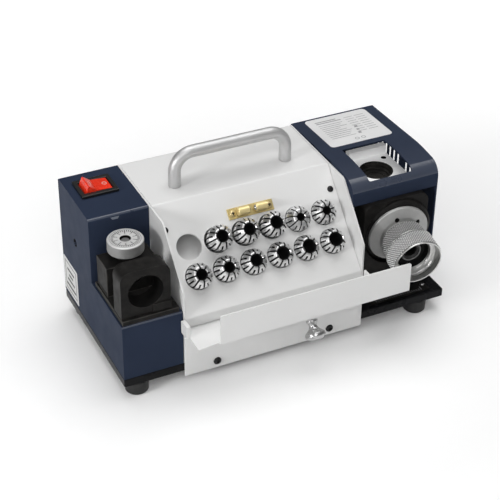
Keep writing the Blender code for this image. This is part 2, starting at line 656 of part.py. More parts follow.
def build_motor():
    """Motor on a cradle; its shaft carries the wheel under the right housing."""
    along = (1, 0, 0)
    left = 72.0
    length = 130.0
    centre = at(left, MOTOR_Y, MOTOR_Z)
    case = ((8.4, length), (MOTOR_RADIUS - 2, length), (MOTOR_RADIUS, length - 2), (MOTOR_RADIUS, 2),
            (MOTOR_RADIUS - 2, 0), (8.4, 0), (8.4, 8), (MOTOR_RADIUS - 3, 8),
            (MOTOR_RADIUS - 3, length - 8), (8.4, length - 8))
    add_turned("motor_case", case, centre, along, "motor_steel", CHUCK_STEPS)
    stator = ((21.5, 100), (32.5, 100), (32.5, 30), (21.5, 30))
    add_turned("motor_stator", stator, centre, along, "motor_steel")
    rotor = ((5.3, 98), (20.5, 98), (20.5, 32), (5.3, 32))
    add_turned("motor_rotor", rotor, centre, along, "motor_steel")
    for name, low in (("rear_bearing", 1.0), ("front_bearing", length - 7.0)):
        ring = ((5.3, low + 6), (8.1, low + 6), (8.1, low), (5.3, low))
        add_turned(name, ring, centre, along, "polished_steel", 12)
    shaft = ((0, 231), (SHAFT_RADIUS, 231), (SHAFT_RADIUS, -6), (0, -6))
    add_turned("motor_shaft", shaft, centre, along, "polished_steel", 12, closed=False)
    wheel = ((5.3, 222), (24, 222), (24, 218), (31, 222), (37, 214), (37, 211), (5.3, 211))
    add_turned("grinding_wheel", wheel, centre, along, "abrasive", CHUCK_STEPS)
    flange = ((5.3, 210.7), (16, 210.7), (16, 207), (9, 202), (5.3, 202))
    add_turned("wheel_flange", flange, centre, along, "turned_steel")
    nut = ((6.1, 229), (9.6, 229), (9.6, 222.3), (6.1, 222.3))
    add_turned("wheel_nut", nut, centre, along, "turned_steel", 6)
    cradle = box_mesh((left + 20, MOTOR_Y - 26, SHELL_BOTTOM), (left + 110, MOTOR_Y + 26, 52))
    saddle = add_piece("motor_cradle", cradle, "motor_steel")
    seat = rod_mesh(at(left + 5, MOTOR_Y, MOTOR_Z), at(left + 125, MOTOR_Y, MOTOR_Z), MOTOR_RADIUS + GAP, 32)
    cut(saddle, "motor_seat", seat)


def build_inlet():
    """A mains inlet set in the back wall, open for a plug."""
    back = DEPTH
    flange = bevel_edges(box_mesh((11, back + GAP, 37.5), (45, back + 2.6, 65.5)), 1.0,
                         lambda place: True, 1)
    inlet = add_piece("power_inlet", flange, "black_plastic")
    join(inlet, "inlet_body", box_mesh((15, back - 18, 42), (41, back + 1.5, 61)))
    cut(inlet, "inlet_socket", box_mesh((16.2, back - 16, 43.4), (39.8, back + 9, 59.6)))


def main():
    clear_scene()
    make_collection(PARTS)
    make_collection(CUTTERS)
    build_base()
    build_left_housing()
    build_right_housing()
    build_cover()
    build_rack()
    build_collets()
    build_catch()
    build_drawer()
    build_handle()
    build_switch()
    build_gauge()
    build_port()
    build_thinning_port()
    build_motor()
    build_inlet()


main()
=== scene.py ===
"""Looks of a bench drill bit sharpener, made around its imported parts.

Sizes are in machine millimetres: x runs right from the left end of the base plate, y runs back
from its front edge, and z runs up from the ground. at() turns them into metres in the frame.
"""
import math

import bmesh
import bpy
from mathutils import Matrix, Vector


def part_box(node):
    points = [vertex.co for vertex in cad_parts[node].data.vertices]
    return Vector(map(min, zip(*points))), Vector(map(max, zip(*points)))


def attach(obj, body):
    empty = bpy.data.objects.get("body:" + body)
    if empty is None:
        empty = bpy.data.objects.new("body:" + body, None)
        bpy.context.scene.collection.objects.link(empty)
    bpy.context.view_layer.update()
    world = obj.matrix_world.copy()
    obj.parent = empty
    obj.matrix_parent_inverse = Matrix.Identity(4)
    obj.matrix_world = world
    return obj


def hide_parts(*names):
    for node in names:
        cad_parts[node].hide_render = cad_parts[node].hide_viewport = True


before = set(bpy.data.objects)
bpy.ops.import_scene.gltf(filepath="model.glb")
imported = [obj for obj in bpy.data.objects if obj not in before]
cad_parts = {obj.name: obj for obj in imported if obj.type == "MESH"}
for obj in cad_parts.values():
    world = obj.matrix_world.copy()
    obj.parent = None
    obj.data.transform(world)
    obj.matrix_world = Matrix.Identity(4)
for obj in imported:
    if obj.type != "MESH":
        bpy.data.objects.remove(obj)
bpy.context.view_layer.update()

MM = 0.001
WIDTH = 320.0
DEPTH = 148.1
MIDDLE_Y = 54.28
GAP = 0.3
SHEET = 1.5
FOOT_HEIGHT = 14.0
FOOT_SHIFT = {"left": (2.4, -1.0), "right": (3.6, -1.0)}
BASE_TOP = 22.6
SHELL_BOTTOM = BASE_TOP + GAP
TOP = 143.6
STEP_TOP = 78.6
STEP_DEPTH = 71.8
COVER_LEFT = 55.9
COVER_RIGHT = 231.5
CAP_FRONT = 25.7
CAP_BAND_BOTTOM = 121.7
CAP_CREST = (59.0, 147.2)
CAP_ROLL = 14.0
PANEL_TOP_Y = 70.7
PANEL_FOOT_Y = 0.4
PANEL_FOOT_Z = 69.4
DRAWER_FLOOR = 59.0
DRAWER_SHEET = 1.2
DRAWER_FRONT = -30.0
DRAWER_LIP = (77.0, 262.5, 87.3)
COLLET_RADIUS = 11.2
COLLET_LENGTH = 31.5
HOLE_RADIUS = 11.6
COLUMN_FIRST_X = 80.0
COLUMN_PITCH = 26.2
ROW_UPPER = 42.6
ROW_LOWER = 69.6
UPPER_BORES = (11.4, 11.4, 12.0, 7.8, 8.3)
UPPER_HEIGHTS = (17.5, 17.0, 16.5, 10.0, 9.5)
LOWER_BORES = (10.6, 10.4, 11.6, 12.6, 13.2, 13.2)
LOWER_HEIGHTS = (12.0, 11.5, 11.0, 10.5, 9.5, 10.0)
CATCH_X = 144.3
CATCH_DOWN = 24.0
SWITCH = (24.5, 118.3, 141.5)
SWITCH_TILT = math.radians(14)
ROCKER_RADIUS = 13.0
ROCKER_TIP = 11.5
GAUGE_BORE = (24.2, 4.0, 107.1)
GAUGE_DIAL = (24.7, 49.5, 112.8)
PORT_PIVOT = (275.4, 36.0, 24.4)
CHUCK = (277.0, 17.0, 86.1)
CHUCK_YAW = math.radians(5.4)
CHUCK_PITCH = math.radians(5.8)
BRACKET_RIGHT = 307.5
RACK_DEPTH = 24.0
RACK_THICKNESS = 2.5
ROUND = 72
KNOB = (167.0, -23.9, 52.2)
DRAWER_BACK = 50.0
DIAL_TOP = 19.6
DIAL_TICKS = 40
THINNING_BORE = (283.3, 73.6)
BRACKET_SCREW = (300.8, 90.3)
PLATE_FRONT_Y = -1.8


def at(x, y, z):
    """A place in machine millimetres as metres in the frame."""
    return Vector((x - WIDTH / 2, y - MIDDLE_Y, z)) * MM


def panel_point(x, down, out):
    """A place on the slanted panel: x, distance down it from its top fold, height above it."""
    slope = Vector((PANEL_FOOT_Y - PANEL_TOP_Y, PANEL_FOOT_Z - TOP)).normalized()
    y = PANEL_TOP_Y + slope.x * down + slope.y * out
    z = TOP + slope.y * down - slope.x * out
    return at(x, y, z)


EMPTY_SOCKET = panel_point(COLUMN_FIRST_X, ROW_UPPER, -8)
SOCKET_SHADE = (panel_point(0.35, 1, 0) - panel_point(0, 0, 0)).normalized()


# ---------------------------------------------------------------- materials

def add_node(tree, kind, values=None, **settings):
    node = tree.nodes.new(kind)
    for key, value in (values or {}).items():
        node.inputs[key].default_value = value
    for key, value in settings.items():
        setattr(node, key, value)
    return node


def base_material(name, colour, roughness, metallic=0.0, **sockets):
    material = bpy.data.materials.new(name)
    material.use_nodes = True
    material.diffuse_color = (*colour, 1.0)
    shader = material.node_tree.nodes["Principled BSDF"]
    shader.inputs["Base Color"].default_value = (*colour, 1.0)
    shader.inputs["Roughness"].default_value = roughness
    shader.inputs["Metallic"].default_value = metallic
    for socket, value in sockets.items():
        shader.inputs[socket.replace("_", " ")].default_value = value
    return material


def object_vector(tree, stretch=(1, 1, 1)):
    place = add_node(tree, "ShaderNodeTexCoord")
    mapping = add_node(tree, "ShaderNodeMapping", {"Scale": stretch})
    tree.links.new(place.outputs["Object"], mapping.inputs["Vector"])
    return mapping.outputs["Vector"]


def ring_vector(tree):
    """Coordinates that change with the radius and the height only, for turned marks."""
    place = add_node(tree, "ShaderNodeTexCoord")
    flat = add_node(tree, "ShaderNodeVectorMath", operation="MULTIPLY")
    flat.inputs[1].default_value = (1, 1, 0)
    radius = add_node(tree, "ShaderNodeVectorMath", operation="LENGTH")
    apart = add_node(tree, "ShaderNodeSeparateXYZ")
    joined = add_node(tree, "ShaderNodeCombineXYZ")
    tree.links.new(place.outputs["Object"], flat.inputs[0])
    tree.links.new(flat.outputs["Vector"], radius.inputs[0])
    tree.links.new(place.outputs["Object"], apart.inputs["Vector"])
    tree.links.new(radius.outputs["Value"], joined.inputs["X"])
    tree.links.new(apart.outputs["Z"], joined.inputs["Y"])
    return joined.outputs["Vector"]


def noise(tree, vector, scale, detail=3.0):
    texture = add_node(tree, "ShaderNodeTexNoise", {"Scale": scale, "Detail": detail})
    tree.links.new(vector, texture.inputs["Vector"])
    return texture.outputs["Fac"]


def shade(material, factor, low, high, start=0.3, end=0.7):
    """The base colour runs from low to high with a factor."""
    tree = material.node_tree
    ramp = add_node(tree, "ShaderNodeValToRGB")
    ramp.color_ramp.elements[0].position = start
    ramp.color_ramp.elements[1].position = end
    ramp.color_ramp.elements[0].color = (*low, 1)
    ramp.color_ramp.elements[1].color = (*high, 1)
    tree.links.new(factor, ramp.inputs["Fac"])
    tree.links.new(ramp.outputs["Color"], tree.nodes["Principled BSDF"].inputs["Base Color"])


def roughen(material, factor, low, high):
    tree = material.node_tree
    spread = add_node(tree, "ShaderNodeMapRange",
                      {"From Min": 0.3, "From Max": 0.7, "To Min": low, "To Max": high})
    tree.links.new(factor, spread.inputs["Value"])
    tree.links.new(spread.outputs["Result"], tree.nodes["Principled BSDF"].inputs["Roughness"])


def relief(material, factor, depth):
    """A bump of a depth in millimetres."""
    tree = material.node_tree
    bump = add_node(tree, "ShaderNodeBump", {"Strength": 1.0, "Distance": depth * MM})
    tree.links.new(factor, bump.inputs["Height"])
    tree.links.new(bump.outputs["Normal"], tree.nodes["Principled BSDF"].inputs["Normal"])


def tinted(colour, share):
    return tuple(min(1.0, part * share) for part in colour)


def paint(name, colour, roughness, peel=0.012, patch=0.06, **sockets):
    """Sprayed paint: a fine orange peel, and slow changes of tone and gloss."""
    material = base_material(name, colour, roughness, **sockets)
    tree = material.node_tree
    vector = object_vector(tree)
    slow = noise(tree, vector, 22.0, 4.0)
    shade(material, slow, tinted(colour, 1 - patch), tinted(colour, 1 + patch))
    roughen(material, noise(tree, vector, 60.0, 3.0), roughness - 0.04, roughness + 0.05)
    relief(material, noise(tree, vector, 900.0, 2.0), peel)
    return material


def turned(name, colour, rough_low, rough_high, groove=0.004, metallic=1.0):
    """Bright metal off a lathe, with fine rings round its axis."""
    material = base_material(name, colour, rough_low, metallic)
    tree = material.node_tree
    rings = noise(tree, ring_vector(tree), 2600.0, 2.0)
    slow = noise(tree, object_vector(tree), 90.0, 3.0)
    shade(material, slow, tinted(colour, 0.92), tinted(colour, 1.06))
    roughen(material, rings, rough_low, rough_high)
    relief(material, rings, groove)
    return material


def brushed(name, colour, rough_low, rough_high, stretch, groove=0.004, metallic=1.0):
    """Metal brushed or ground along one axis, the one whose stretch is small."""
    material = base_material(name, colour, rough_low, metallic)
    tree = material.node_tree
    lines = noise(tree, object_vector(tree, stretch), 45.0, 3.0)
    slow = noise(tree, object_vector(tree), 40.0, 3.0)
    shade(material, slow, tinted(colour, 0.93), tinted(colour, 1.05))
    roughen(material, lines, rough_low, rough_high)
    relief(material, lines, groove)
    return material


def moulded(name, colour, roughness, grain=0.010, patch=0.05, **sockets):
    """Plastic or rubber with a fine moulded grain."""
    material = base_material(name, colour, roughness, **sockets)
    tree = material.node_tree
    vector = object_vector(tree)
    shade(material, noise(tree, vector, 50.0), tinted(colour, 1 - patch), tinted(colour, 1 + patch))
    roughen(material, noise(tree, vector, 300.0), roughness - 0.03, roughness + 0.05)
    relief(material, noise(tree, vector, 1500.0, 2.0), grain)
    return material


def blackened(name, low, high, roughness):
    """Machined steel with a black oxide finish: mottled, with faint milling marks."""
    material = base_material(name, high, roughness, Specular_IOR_Level=0.07)
    tree = material.node_tree
    mottle = noise(tree, object_vector(tree), 130.0, 6.0)
    marks = noise(tree, object_vector(tree, (1, 1, 30)), 60.0, 2.0)
    shade(material, mottle, low, high)
    roughen(material, mottle, roughness - 0.08, roughness + 0.10)
    relief(material, marks, 0.006)
    return material


def knurled(name, low, high, roughness, groove, spread):
    """Knurled metal with painted shade: dark in the grooves, bright on the points, by the distance to the
    axis.
    """
    material = base_material(name, high, roughness, 0.25)
    tree = material.node_tree
    apart = add_node(tree, "ShaderNodeSeparateXYZ")
    tree.links.new(ring_vector(tree), apart.inputs["Vector"])
    reach = add_node(tree, "ShaderNodeMapRange",
                     {"From Min": groove * MM, "From Max": (groove + spread) * MM})
    tree.links.new(apart.outputs["X"], reach.inputs["Value"])
    # Painted shade: the colour darkens towards the bottom of the grooves.
    shade(material, reach.outputs["Result"], low, high, 0.05, 0.95)
    fine = noise(tree, object_vector(tree), 1400.0, 2.0)
    roughen(material, fine, roughness - 0.05, roughness + 0.06)
    relief(material, fine, 0.004)
    return material


def grit(name, low, high):
    material = base_material(name, high, 0.9)
    tree = material.node_tree
    cells = add_node(tree, "ShaderNodeTexVoronoi", {"Scale": 1700.0})
    tree.links.new(object_vector(tree), cells.inputs["Vector"])
    shade(material, cells.outputs["Distance"], low, high, 0.1, 0.8)
    relief(material, cells.outputs["Distance"], 0.12)
    return material


def graded(name, low, high):
    """Plastic with painted shade: darker at the top of the empty socket, which its upper wall shades, than
    at its foot.
    """
    material = moulded(name, high, 0.55, grain=0.003)
    tree = material.node_tree
    place = add_node(tree, "ShaderNodeTexCoord")
    along = add_node(tree, "ShaderNodeVectorMath", operation="DOT_PRODUCT")
    along.inputs[1].default_value = SOCKET_SHADE
    spread = add_node(tree, "ShaderNodeMapRange", {"From Min": -13.0 * MM, "From Max": 13.0 * MM})
    reach = add_node(tree, "ShaderNodeMath", operation="SUBTRACT")
    reach.inputs[1].default_value = EMPTY_SOCKET.dot(SOCKET_SHADE)
    tree.links.new(place.outputs["Object"], along.inputs[0])
    tree.links.new(along.outputs["Value"], reach.inputs[0])
    tree.links.new(reach.outputs["Value"], spread.inputs["Value"])
    shade(material, spread.outputs["Result"], low, high, 0.0, 1.0)
    return material


def glowing_paper(name, colour, near, far):
    """Floor paper that gives off a little light, more of it further out, so it stays white."""
    material = moulded(name, colour, 0.85, grain=0.004, patch=0.004, Emission_Color=(1, 1, 1, 1))
    tree = material.node_tree
    apart = add_node(tree, "ShaderNodeSeparateXYZ")
    tree.links.new(ring_vector(tree), apart.inputs["Vector"])
    spread = add_node(tree, "ShaderNodeMapRange",
                      {"From Min": 0.25, "From Max": 0.9, "To Min": near, "To Max": far})
    tree.links.new(apart.outputs["X"], spread.inputs["Value"])
    tree.links.new(spread.outputs["Result"], tree.nodes["Principled BSDF"].inputs["Emission Strength"])
    return material


def lit_from_within(material, strength):
    """A little light of its own, for what bounces inside a bright box."""
    shader = material.node_tree.nodes["Principled BSDF"]
    shader.inputs["Emission Color"].default_value = (1.0, 1.0, 1.0, 1.0)
    shader.inputs["Emission Strength"].default_value = strength


NAVY = paint("navy_paint", (0.024, 0.033, 0.058), 0.42, Specular_IOR_Level=0.02)
# Painted light: a lighter copy of the navy for faces that point up; its extra gloss is real, its lighter
# colour is painted light.
NAVY_LIT_TOP = paint("navy_paint_lit_top", (0.028, 0.037, 0.062), 0.40, Specular_IOR_Level=0.14)
# Painted highlight: a lighter navy, partly real gloss, for faces turned up and forward, along the top front
# edges and the cap's roll.
NAVY_HIGHLIGHT = paint("navy_paint_highlight", (0.040, 0.050, 0.078), 0.30, peel=0.004, Specular_IOR_Level=0.7)
PALE_PATCH = moulded("pale_patch_paint", (0.16, 0.18, 0.22), 0.5)
WHITE = paint("white_paint", (0.72, 0.72, 0.715), 0.42, peel=0.010, patch=0.012)
BLACK_GLOSS = paint("black_base_paint", (0.007, 0.007, 0.008), 0.28, peel=0.02, patch=0.2,
                    Specular_IOR_Level=0.10)
OXIDE = blackened("black_oxide", (0.0085, 0.0082, 0.0080), (0.018, 0.0170, 0.0160), 0.44)
# A paler black oxide: on the rounded edges of the gauge and port blocks it is a painted highlight; it also
# lines the thinning port's bore.
PALE_OXIDE_AND_HIGHLIGHT = blackened("pale_black_oxide_and_highlight", (0.024, 0.023, 0.022), (0.060, 0.057, 0.053), 0.36)
# Painted shade: a near-black oxide for the walls of bores and recesses and the underside of the dial, where
# shade falls.
OXIDE_SHADE = blackened("black_oxide_painted_shade", (0.004, 0.004, 0.004), (0.010, 0.0095, 0.009), 0.5)
RUBBER = moulded("foot_rubber", (0.012, 0.012, 0.012), 0.62, grain=0.02)
CHROME = turned("collet_chrome", (0.82, 0.82, 0.82), 0.27, 0.37, 0.001)
# Painted shadow: near-black for slits, recesses and the linings put in bores, where only shadow is seen.
SHADOW_BLACK = moulded("slit_shadow", (0.004, 0.004, 0.004), 0.6)
KNOB_METAL = turned("polished_knob", (0.48, 0.48, 0.48), 0.22, 0.34, 0.003)
STEEL = turned("turned_steel", (0.60, 0.60, 0.59), 0.26, 0.40)
MATT_STEEL = turned("matt_steel", (0.42, 0.42, 0.415), 0.46, 0.58, 0.003, metallic=0.55)
DULL_STEEL = turned("dull_steel", (0.20, 0.20, 0.20), 0.42, 0.55, 0.003, metallic=0.7)
NECK_KNURL = knurled("knurled_neck", (0.07, 0.07, 0.07), (0.46, 0.46, 0.455), 0.5, 20.6, 0.75)
NUT_KNURL = knurled("knurled_nut", (0.11, 0.11, 0.11), (0.74, 0.74, 0.735), 0.5, 22.6, 0.75)
DIAL_METAL = turned("dial_metal", (0.60, 0.60, 0.595), 0.42, 0.55, 0.003, metallic=0.4)
# A darker copy of the dial's metal for its sides: partly a duller side finish, partly painted shade.
DIAL_SHADED_SIDE = turned("dial_side_painted_shade", (0.25, 0.25, 0.247), 0.46, 0.60, 0.003, metallic=0.4)
ALUMINIUM = brushed("satin_aluminium", (0.58, 0.58, 0.58), 0.42, 0.56, (1, 30, 30), metallic=0.75)
BRACKET = brushed("brushed_bracket", (0.90, 0.90, 0.895), 0.36, 0.50, (1, 30, 30), metallic=0.12)
# Painted light: the bracket glows a little, standing in for light bouncing under the cap.
lit_from_within(BRACKET, 0.22)
BRASS = brushed("brass", (0.80, 0.66, 0.33), 0.40, 0.52, (1, 30, 30), 0.001, metallic=0.55)
BLACK_PLASTIC = moulded("black_plastic", (0.011, 0.011, 0.011), 0.34)
RED_PLASTIC = moulded("red_plastic", (0.80, 0.035, 0.012), 0.26, grain=0.004)
MARK_WHITE = moulded("switch_marks", (0.80, 0.45, 0.40), 0.5)
RACK_PLASTIC = moulded("rack_plastic", (0.66, 0.66, 0.655), 0.5)
# Painted shade: the empty socket darkens towards its top.
SHADED_SOCKET = graded("shaded_socket", (0.20, 0.20, 0.20), (0.78, 0.78, 0.775))
LABEL = moulded("label_film", (0.74, 0.74, 0.74), 0.40, grain=0.003, patch=0.02)
SIDE_LABEL = moulded("side_label_film", (0.56, 0.56, 0.555), 0.40, grain=0.003, patch=0.02)
DARK_INK = moulded("dark_ink", (0.025, 0.025, 0.025), 0.5)
FINE_INK = moulded("fine_label_ink", (0.30, 0.30, 0.31), 0.5)
SCREW_BLACK = moulded("black_screw", (0.012, 0.012, 0.013), 0.30, grain=0.004, Metallic=0.4)
SCREW_BRIGHT = turned("bright_screw", (0.66, 0.66, 0.65), 0.22, 0.34, 0.002)
BRASS_PLATE = brushed("brass_plate", (0.66, 0.53, 0.24), 0.36, 0.48, (1, 30, 30), 0.001, metallic=0.6)
SCREW_BRASS = turned("brass_screw", (0.62, 0.50, 0.26), 0.34, 0.46, 0.002, metallic=0.7)
ENAMEL = paint("motor_enamel", (0.085, 0.095, 0.105), 0.42, peel=0.03)
LAMINATION = brushed("laminations", (0.32, 0.32, 0.33), 0.40, 0.55, (30, 1, 1), 0.02)
ABRASIVE = grit("bonded_grit", (0.12, 0.10, 0.07), (0.34, 0.29, 0.20))
FLOOR = glowing_paper("floor_paper", (0.90, 0.90, 0.90), 0.09, 0.55)


# ---------------------------------------------------------------- shapes

def finished(shape):
    bmesh.ops.recalc_face_normals(shape, faces=shape.faces)
    mesh = bpy.data.meshes.new("shape")
    shape.to_mesh(mesh)
    shape.free()
    mesh.shade_smooth()
    return mesh


PLACES = {
    "yz": lambda across, up, along: at(along, across, up),
    "xz": lambda across, up, along: at(across, along, up),
    "xy": lambda across, up, along: at(across, up, along),
}


def prism(outline, low, high, plane):
    """A flat outline in millimetres, extruded between two places on the third axis."""
    shape = bmesh.new()
    place = PLACES[plane]
    first = [shape.verts.new(place(across, up, low)) for across, up in outline]
    last = [shape.verts.new(place(across, up, high)) for across, up in outline]
    shape.faces.new(first)
    shape.faces.new(last[::-1])
    for index in range(len(outline)):
        after = (index + 1) % len(outline)
        shape.faces.new((first[index], first[after], last[after], last[index]))
    return finished(shape)


def block(low, high):
    corners = ((low[0], low[1]), (high[0], low[1]), (high[0], high[1]), (low[0], high[1]))
    return prism(corners, low[2], high[2], "xy")


def slab(matrix):
    """A unit cube under a matrix in metres."""
    shape = bmesh.new()
    bmesh.ops.create_cube(shape, size=1, matrix=matrix)
    return finished(shape)


def sized(x, y, z):
    """A scale in millimetres."""
    return Matrix.Diagonal((x * MM, y * MM, z * MM, 1))


def shifted(x, y, z):
    return Matrix.Translation(Vector((x, y, z)) * MM)


def facing(axis):
    """The turn that brings the local Z axis onto an axis."""
    return Vector(axis).to_track_quat("Z", "Y")


def bar(start, end, radius, sides=48):
    """A round bar between two points in metres, of a radius in millimetres."""
    axis = end - start
    turn = facing(axis).to_matrix().to_4x4()
    shape = bmesh.new()
    bmesh.ops.create_cone(shape, cap_ends=True, segments=sides, radius1=radius * MM,
                          radius2=radius * MM, depth=axis.length,
                          matrix=Matrix.Translation((start + end) / 2) @ turn)
    return finished(shape)


def rounded(points, radii, steps=8):
    """An outline whose corners are arcs: one radius for each corner, 0 where it stays sharp."""
    result = []
    count = len(points)
    for index, radius in enumerate(radii):
        corner = Vector(points[index])
        if not radius:
            result.append(tuple(corner))
            continue
        before = (Vector(points[index - 1]) - corner).normalized()
        after = (Vector(points[(index + 1) % count]) - corner).normalized()
        half = before.angle(after) / 2
        centre = corner + (before + after).normalized() * radius / math.sin(half)
        first = corner + before * radius / math.tan(half) - centre
        last = corner + after * radius / math.tan(half) - centre
        start = math.atan2(first.y, first.x)
        sweep = math.atan2(first.x * last.y - first.y * last.x, first.dot(last))
        for step in range(steps + 1):
            angle = start + sweep * step / steps
            result.append((centre.x + radius * math.cos(angle), centre.y + radius * math.sin(angle)))
    return result


def rectangle(left, low, right, high, radius=0.0, steps=6):
    corners = ((left, low), (right, low), (right, high), (left, high))
    return rounded(corners, (radius,) * 4, steps)


def strip(line, thickness):
    """The outline of a bent sheet: an open line, and the same line set off to its left."""
    points = [Vector(point) for point in line]
    normals = []
    for first, second in zip(points, points[1:]):
        run = (second - first).normalized()
        normals.append(Vector((-run.y, run.x)))
    inner = []
    for index, point in enumerate(points):
        before = normals[max(index - 1, 0)]
        after = normals[min(index, len(normals) - 1)]
        inner.append(tuple(point + (before + after) * thickness / (1 + before.dot(after))))
    return [tuple(point) for point in points] + inner[::-1]


def lathe_mesh(profile, steps=ROUND, closed=True):
    """(radius, height) points in millimetres turned round the local Z axis."""
    shape = bmesh.new()
    rings = []
    for radius, height in profile:
        if radius == 0:
            rings.append([shape.verts.new((0, 0, height * MM))] * steps)
            continue
        ring = []
        for step in range(steps):
            angle = 2 * math.pi * step / steps
            ring.append(shape.verts.new((radius * math.cos(angle) * MM, radius * math.sin(angle) * MM,
                                         height * MM)))
        rings.append(ring)
    pairs = list(zip(rings, rings[1:]))
    if closed:
        pairs.append((rings[-1], rings[0]))
    for first, second in pairs:
        for step in range(steps):
            after = (step + 1) % steps
            corners = []
            for vert in (first[step], first[after], second[after], second[step]):
                if vert not in corners:
                    corners.append(vert)
            if len(corners) > 2:
                shape.faces.new(corners)
    return finished(shape)


def several(meshes):
    """Separate shapes in one mesh."""
    shape = bmesh.new()
    for mesh in meshes:
        shape.from_mesh(mesh)
        bpy.data.meshes.remove(mesh)
    return finished(shape)


def place_object(name, mesh, origin=None, axis=None):
    thing = bpy.data.objects.new(name, mesh)
    bpy.context.scene.collection.objects.link(thing)
    if origin is not None:
        thing.location = origin
    if axis is not None:
        thing.rotation_euler = facing(axis).to_euler()
    return thing


def evaluated_mesh(thing):
    bpy.context.view_layer.update()
    depsgraph = bpy.context.evaluated_depsgraph_get()
    return bpy.data.meshes.new_from_object(thing.evaluated_get(depsgraph))


def settle(piece):
    """Turns a piece's modifiers into its mesh."""
    mesh = evaluated_mesh(piece)
    piece.modifiers.clear()
    piece.data = mesh


def mesh_of_curve(name, curve):
    holder = place_object(name, curve)
    mesh = evaluated_mesh(holder)
    bpy.data.objects.remove(holder, do_unlink=True)
    return mesh


def carve(piece, mesh, material=None, operation="DIFFERENCE", local=False):
    """Cuts a shape out of a piece, or joins it on; a cut's walls can have their own material."""
    cutter = place_object("cutter", mesh)
    if local:
        cutter.location = piece.location
        cutter.rotation_euler = piece.rotation_euler
    if material:
        mesh.materials.clear()
        mesh.materials.append(material)
    step = piece.modifiers.new("Cut", "BOOLEAN")
    step.operation = operation
    step.object = cutter
    step.solver = "EXACT"
    step.material_mode = "TRANSFER"
    settle(piece)
    bpy.data.objects.remove(cutter, do_unlink=True)


def join(piece, mesh):
    carve(piece, mesh, operation="UNION")


def soften(piece, width=0.4, segments=2, edge=None, angle=30):
    """Rounds the sharp edges; the rounded faces can have a material of their own."""
    piece.modifiers.new("Flats", "TRIANGULATE").min_vertices = 5
    bevel = piece.modifiers.new("Edges", "BEVEL")
    bevel.width = width * MM
    bevel.segments = segments
    bevel.limit_method = "ANGLE"
    bevel.angle_limit = math.radians(angle)
    bevel.use_clamp_overlap = True
    if edge:
        piece.data.materials.append(edge)
        bevel.material = len(piece.data.materials) - 1
    piece.modifiers.new("Normals", "WEIGHTED_NORMAL").keep_sharp = True
    settle(piece)


def repaint(piece, material, chosen):
    """Gives a material to the faces whose normals are chosen."""
    mesh = piece.data
    mesh.materials.append(material)
    for face in mesh.polygons:
        if chosen(face.normal):
            face.material_index = len(mesh.materials) - 1


def crease(piece, angle=35):
    """Keeps the edges sharper than an angle sharp, and the rest smooth."""
    piece.data.shade_smooth()
    piece.data.set_sharp_from_angle(angle=math.radians(angle))


def new_piece(name, mesh, material, origin=None, axis=None):
    mesh.name = name
    piece = place_object(name, mesh, origin, axis)
    mesh.materials.append(material)
    return piece


def add_crisp(name, mesh, material, home, origin=None, axis=None):
    """A piece with crisp corners; home is its body, its slot and the CAD nodes it stands for."""
    piece = new_piece(name, mesh, material, origin, axis)
    crease(piece)
    register(piece, *home)


def add_turned(name, profile, sides, material, origin, axis, home, closed=True):
    add_crisp(name, lathe_mesh(profile, sides, closed), material, home, origin, axis)


def register(piece, body, slot, *nodes):
    """The piece rides on a body and stands for the CAD nodes named, which are hidden; the slot is not used.
    """
    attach(piece, body)
    if nodes:
        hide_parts(*nodes)


PANEL_NORMAL = (panel_point(0, 0, 1) - panel_point(0, 0, 0)).normalized()
CHUCK_AXIS = Vector((-math.sin(CHUCK_YAW) * math.cos(CHUCK_PITCH),
                     -math.cos(CHUCK_YAW) * math.cos(CHUCK_PITCH), -math.sin(CHUCK_PITCH)))


def cross_recess(radius, depth):
    """A cross recess, sunk from local height 0."""
    arms = []
    for turn in range(2):
        place = Matrix.Rotation(math.pi / 2 * turn, 4, "Z")
        arms.append(slab(place @ sized(radius * 1.15, radius * 0.30, depth * 2)))
    return arms


def add_screw(name, place, normal, radius, material, recess="cross"):
    """A domed screw head with a recess."""
    height = radius * 0.62
    profile = [(0, height)]
    for step in range(1, 7):
        angle = math.radians(13 * step)
        profile.append((radius * math.sin(angle) * 1.02, height * math.cos(angle) ** 0.8))
    profile += [(radius, 0.12), (radius * 0.96, -0.4), (0, -0.4)]
    screw = new_piece(name, lathe_mesh(profile, 32, closed=False), material, place, normal)
    if recess == "hex":
        sides = lathe_mesh(((0, height + 1), (radius * 0.5, height + 1), (radius * 0.5, height * 0.25),
                            (0, height * 0.25)), 6, closed=False)
        carve(screw, sides, SHADOW_BLACK, local=True)
    else:
        for arm in cross_recess(radius, height * 0.75):
            arm.transform(Matrix.Translation((0, 0, height * MM)))
            carve(screw, arm, SHADOW_BLACK, local=True)
    crease(screw)
    register(screw, "machine", "turned_steel")


# ---------------------------------------------------------------- parts of the machine

def build_base():
    plate = new_piece("base", block((0, 0, FOOT_HEIGHT), (WIDTH, DEPTH, BASE_TOP)), BLACK_GLOSS)
    soften(plate, 1.0, 3)
    register(plate, "machine", "black_paint", "base_plate")
    for name in ("foot_front_left", "foot_front_right", "foot_rear_left", "foot_rear_right"):
        low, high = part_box(name)
        centre = (low + high) / 2 + at(*FOOT_SHIFT[name.split("_")[-1]], 0) - at(0, 0, 0)
        height = high.z / MM
        profile = rounded(((0, 0.8), (4.2, 0.8), (4.2, 0), (8.8, 0), (10.4, 1.6), (11.0, height),
                           (0, height)), (0, 0, 0, 1.2, 1.0, 0.8, 0), 4)[::-1]
        add_turned(name + "_rubber", profile, 48, RUBBER, Vector((centre.x, centre.y, 0)), None,
                   ("machine", "rubber", name), closed=False)


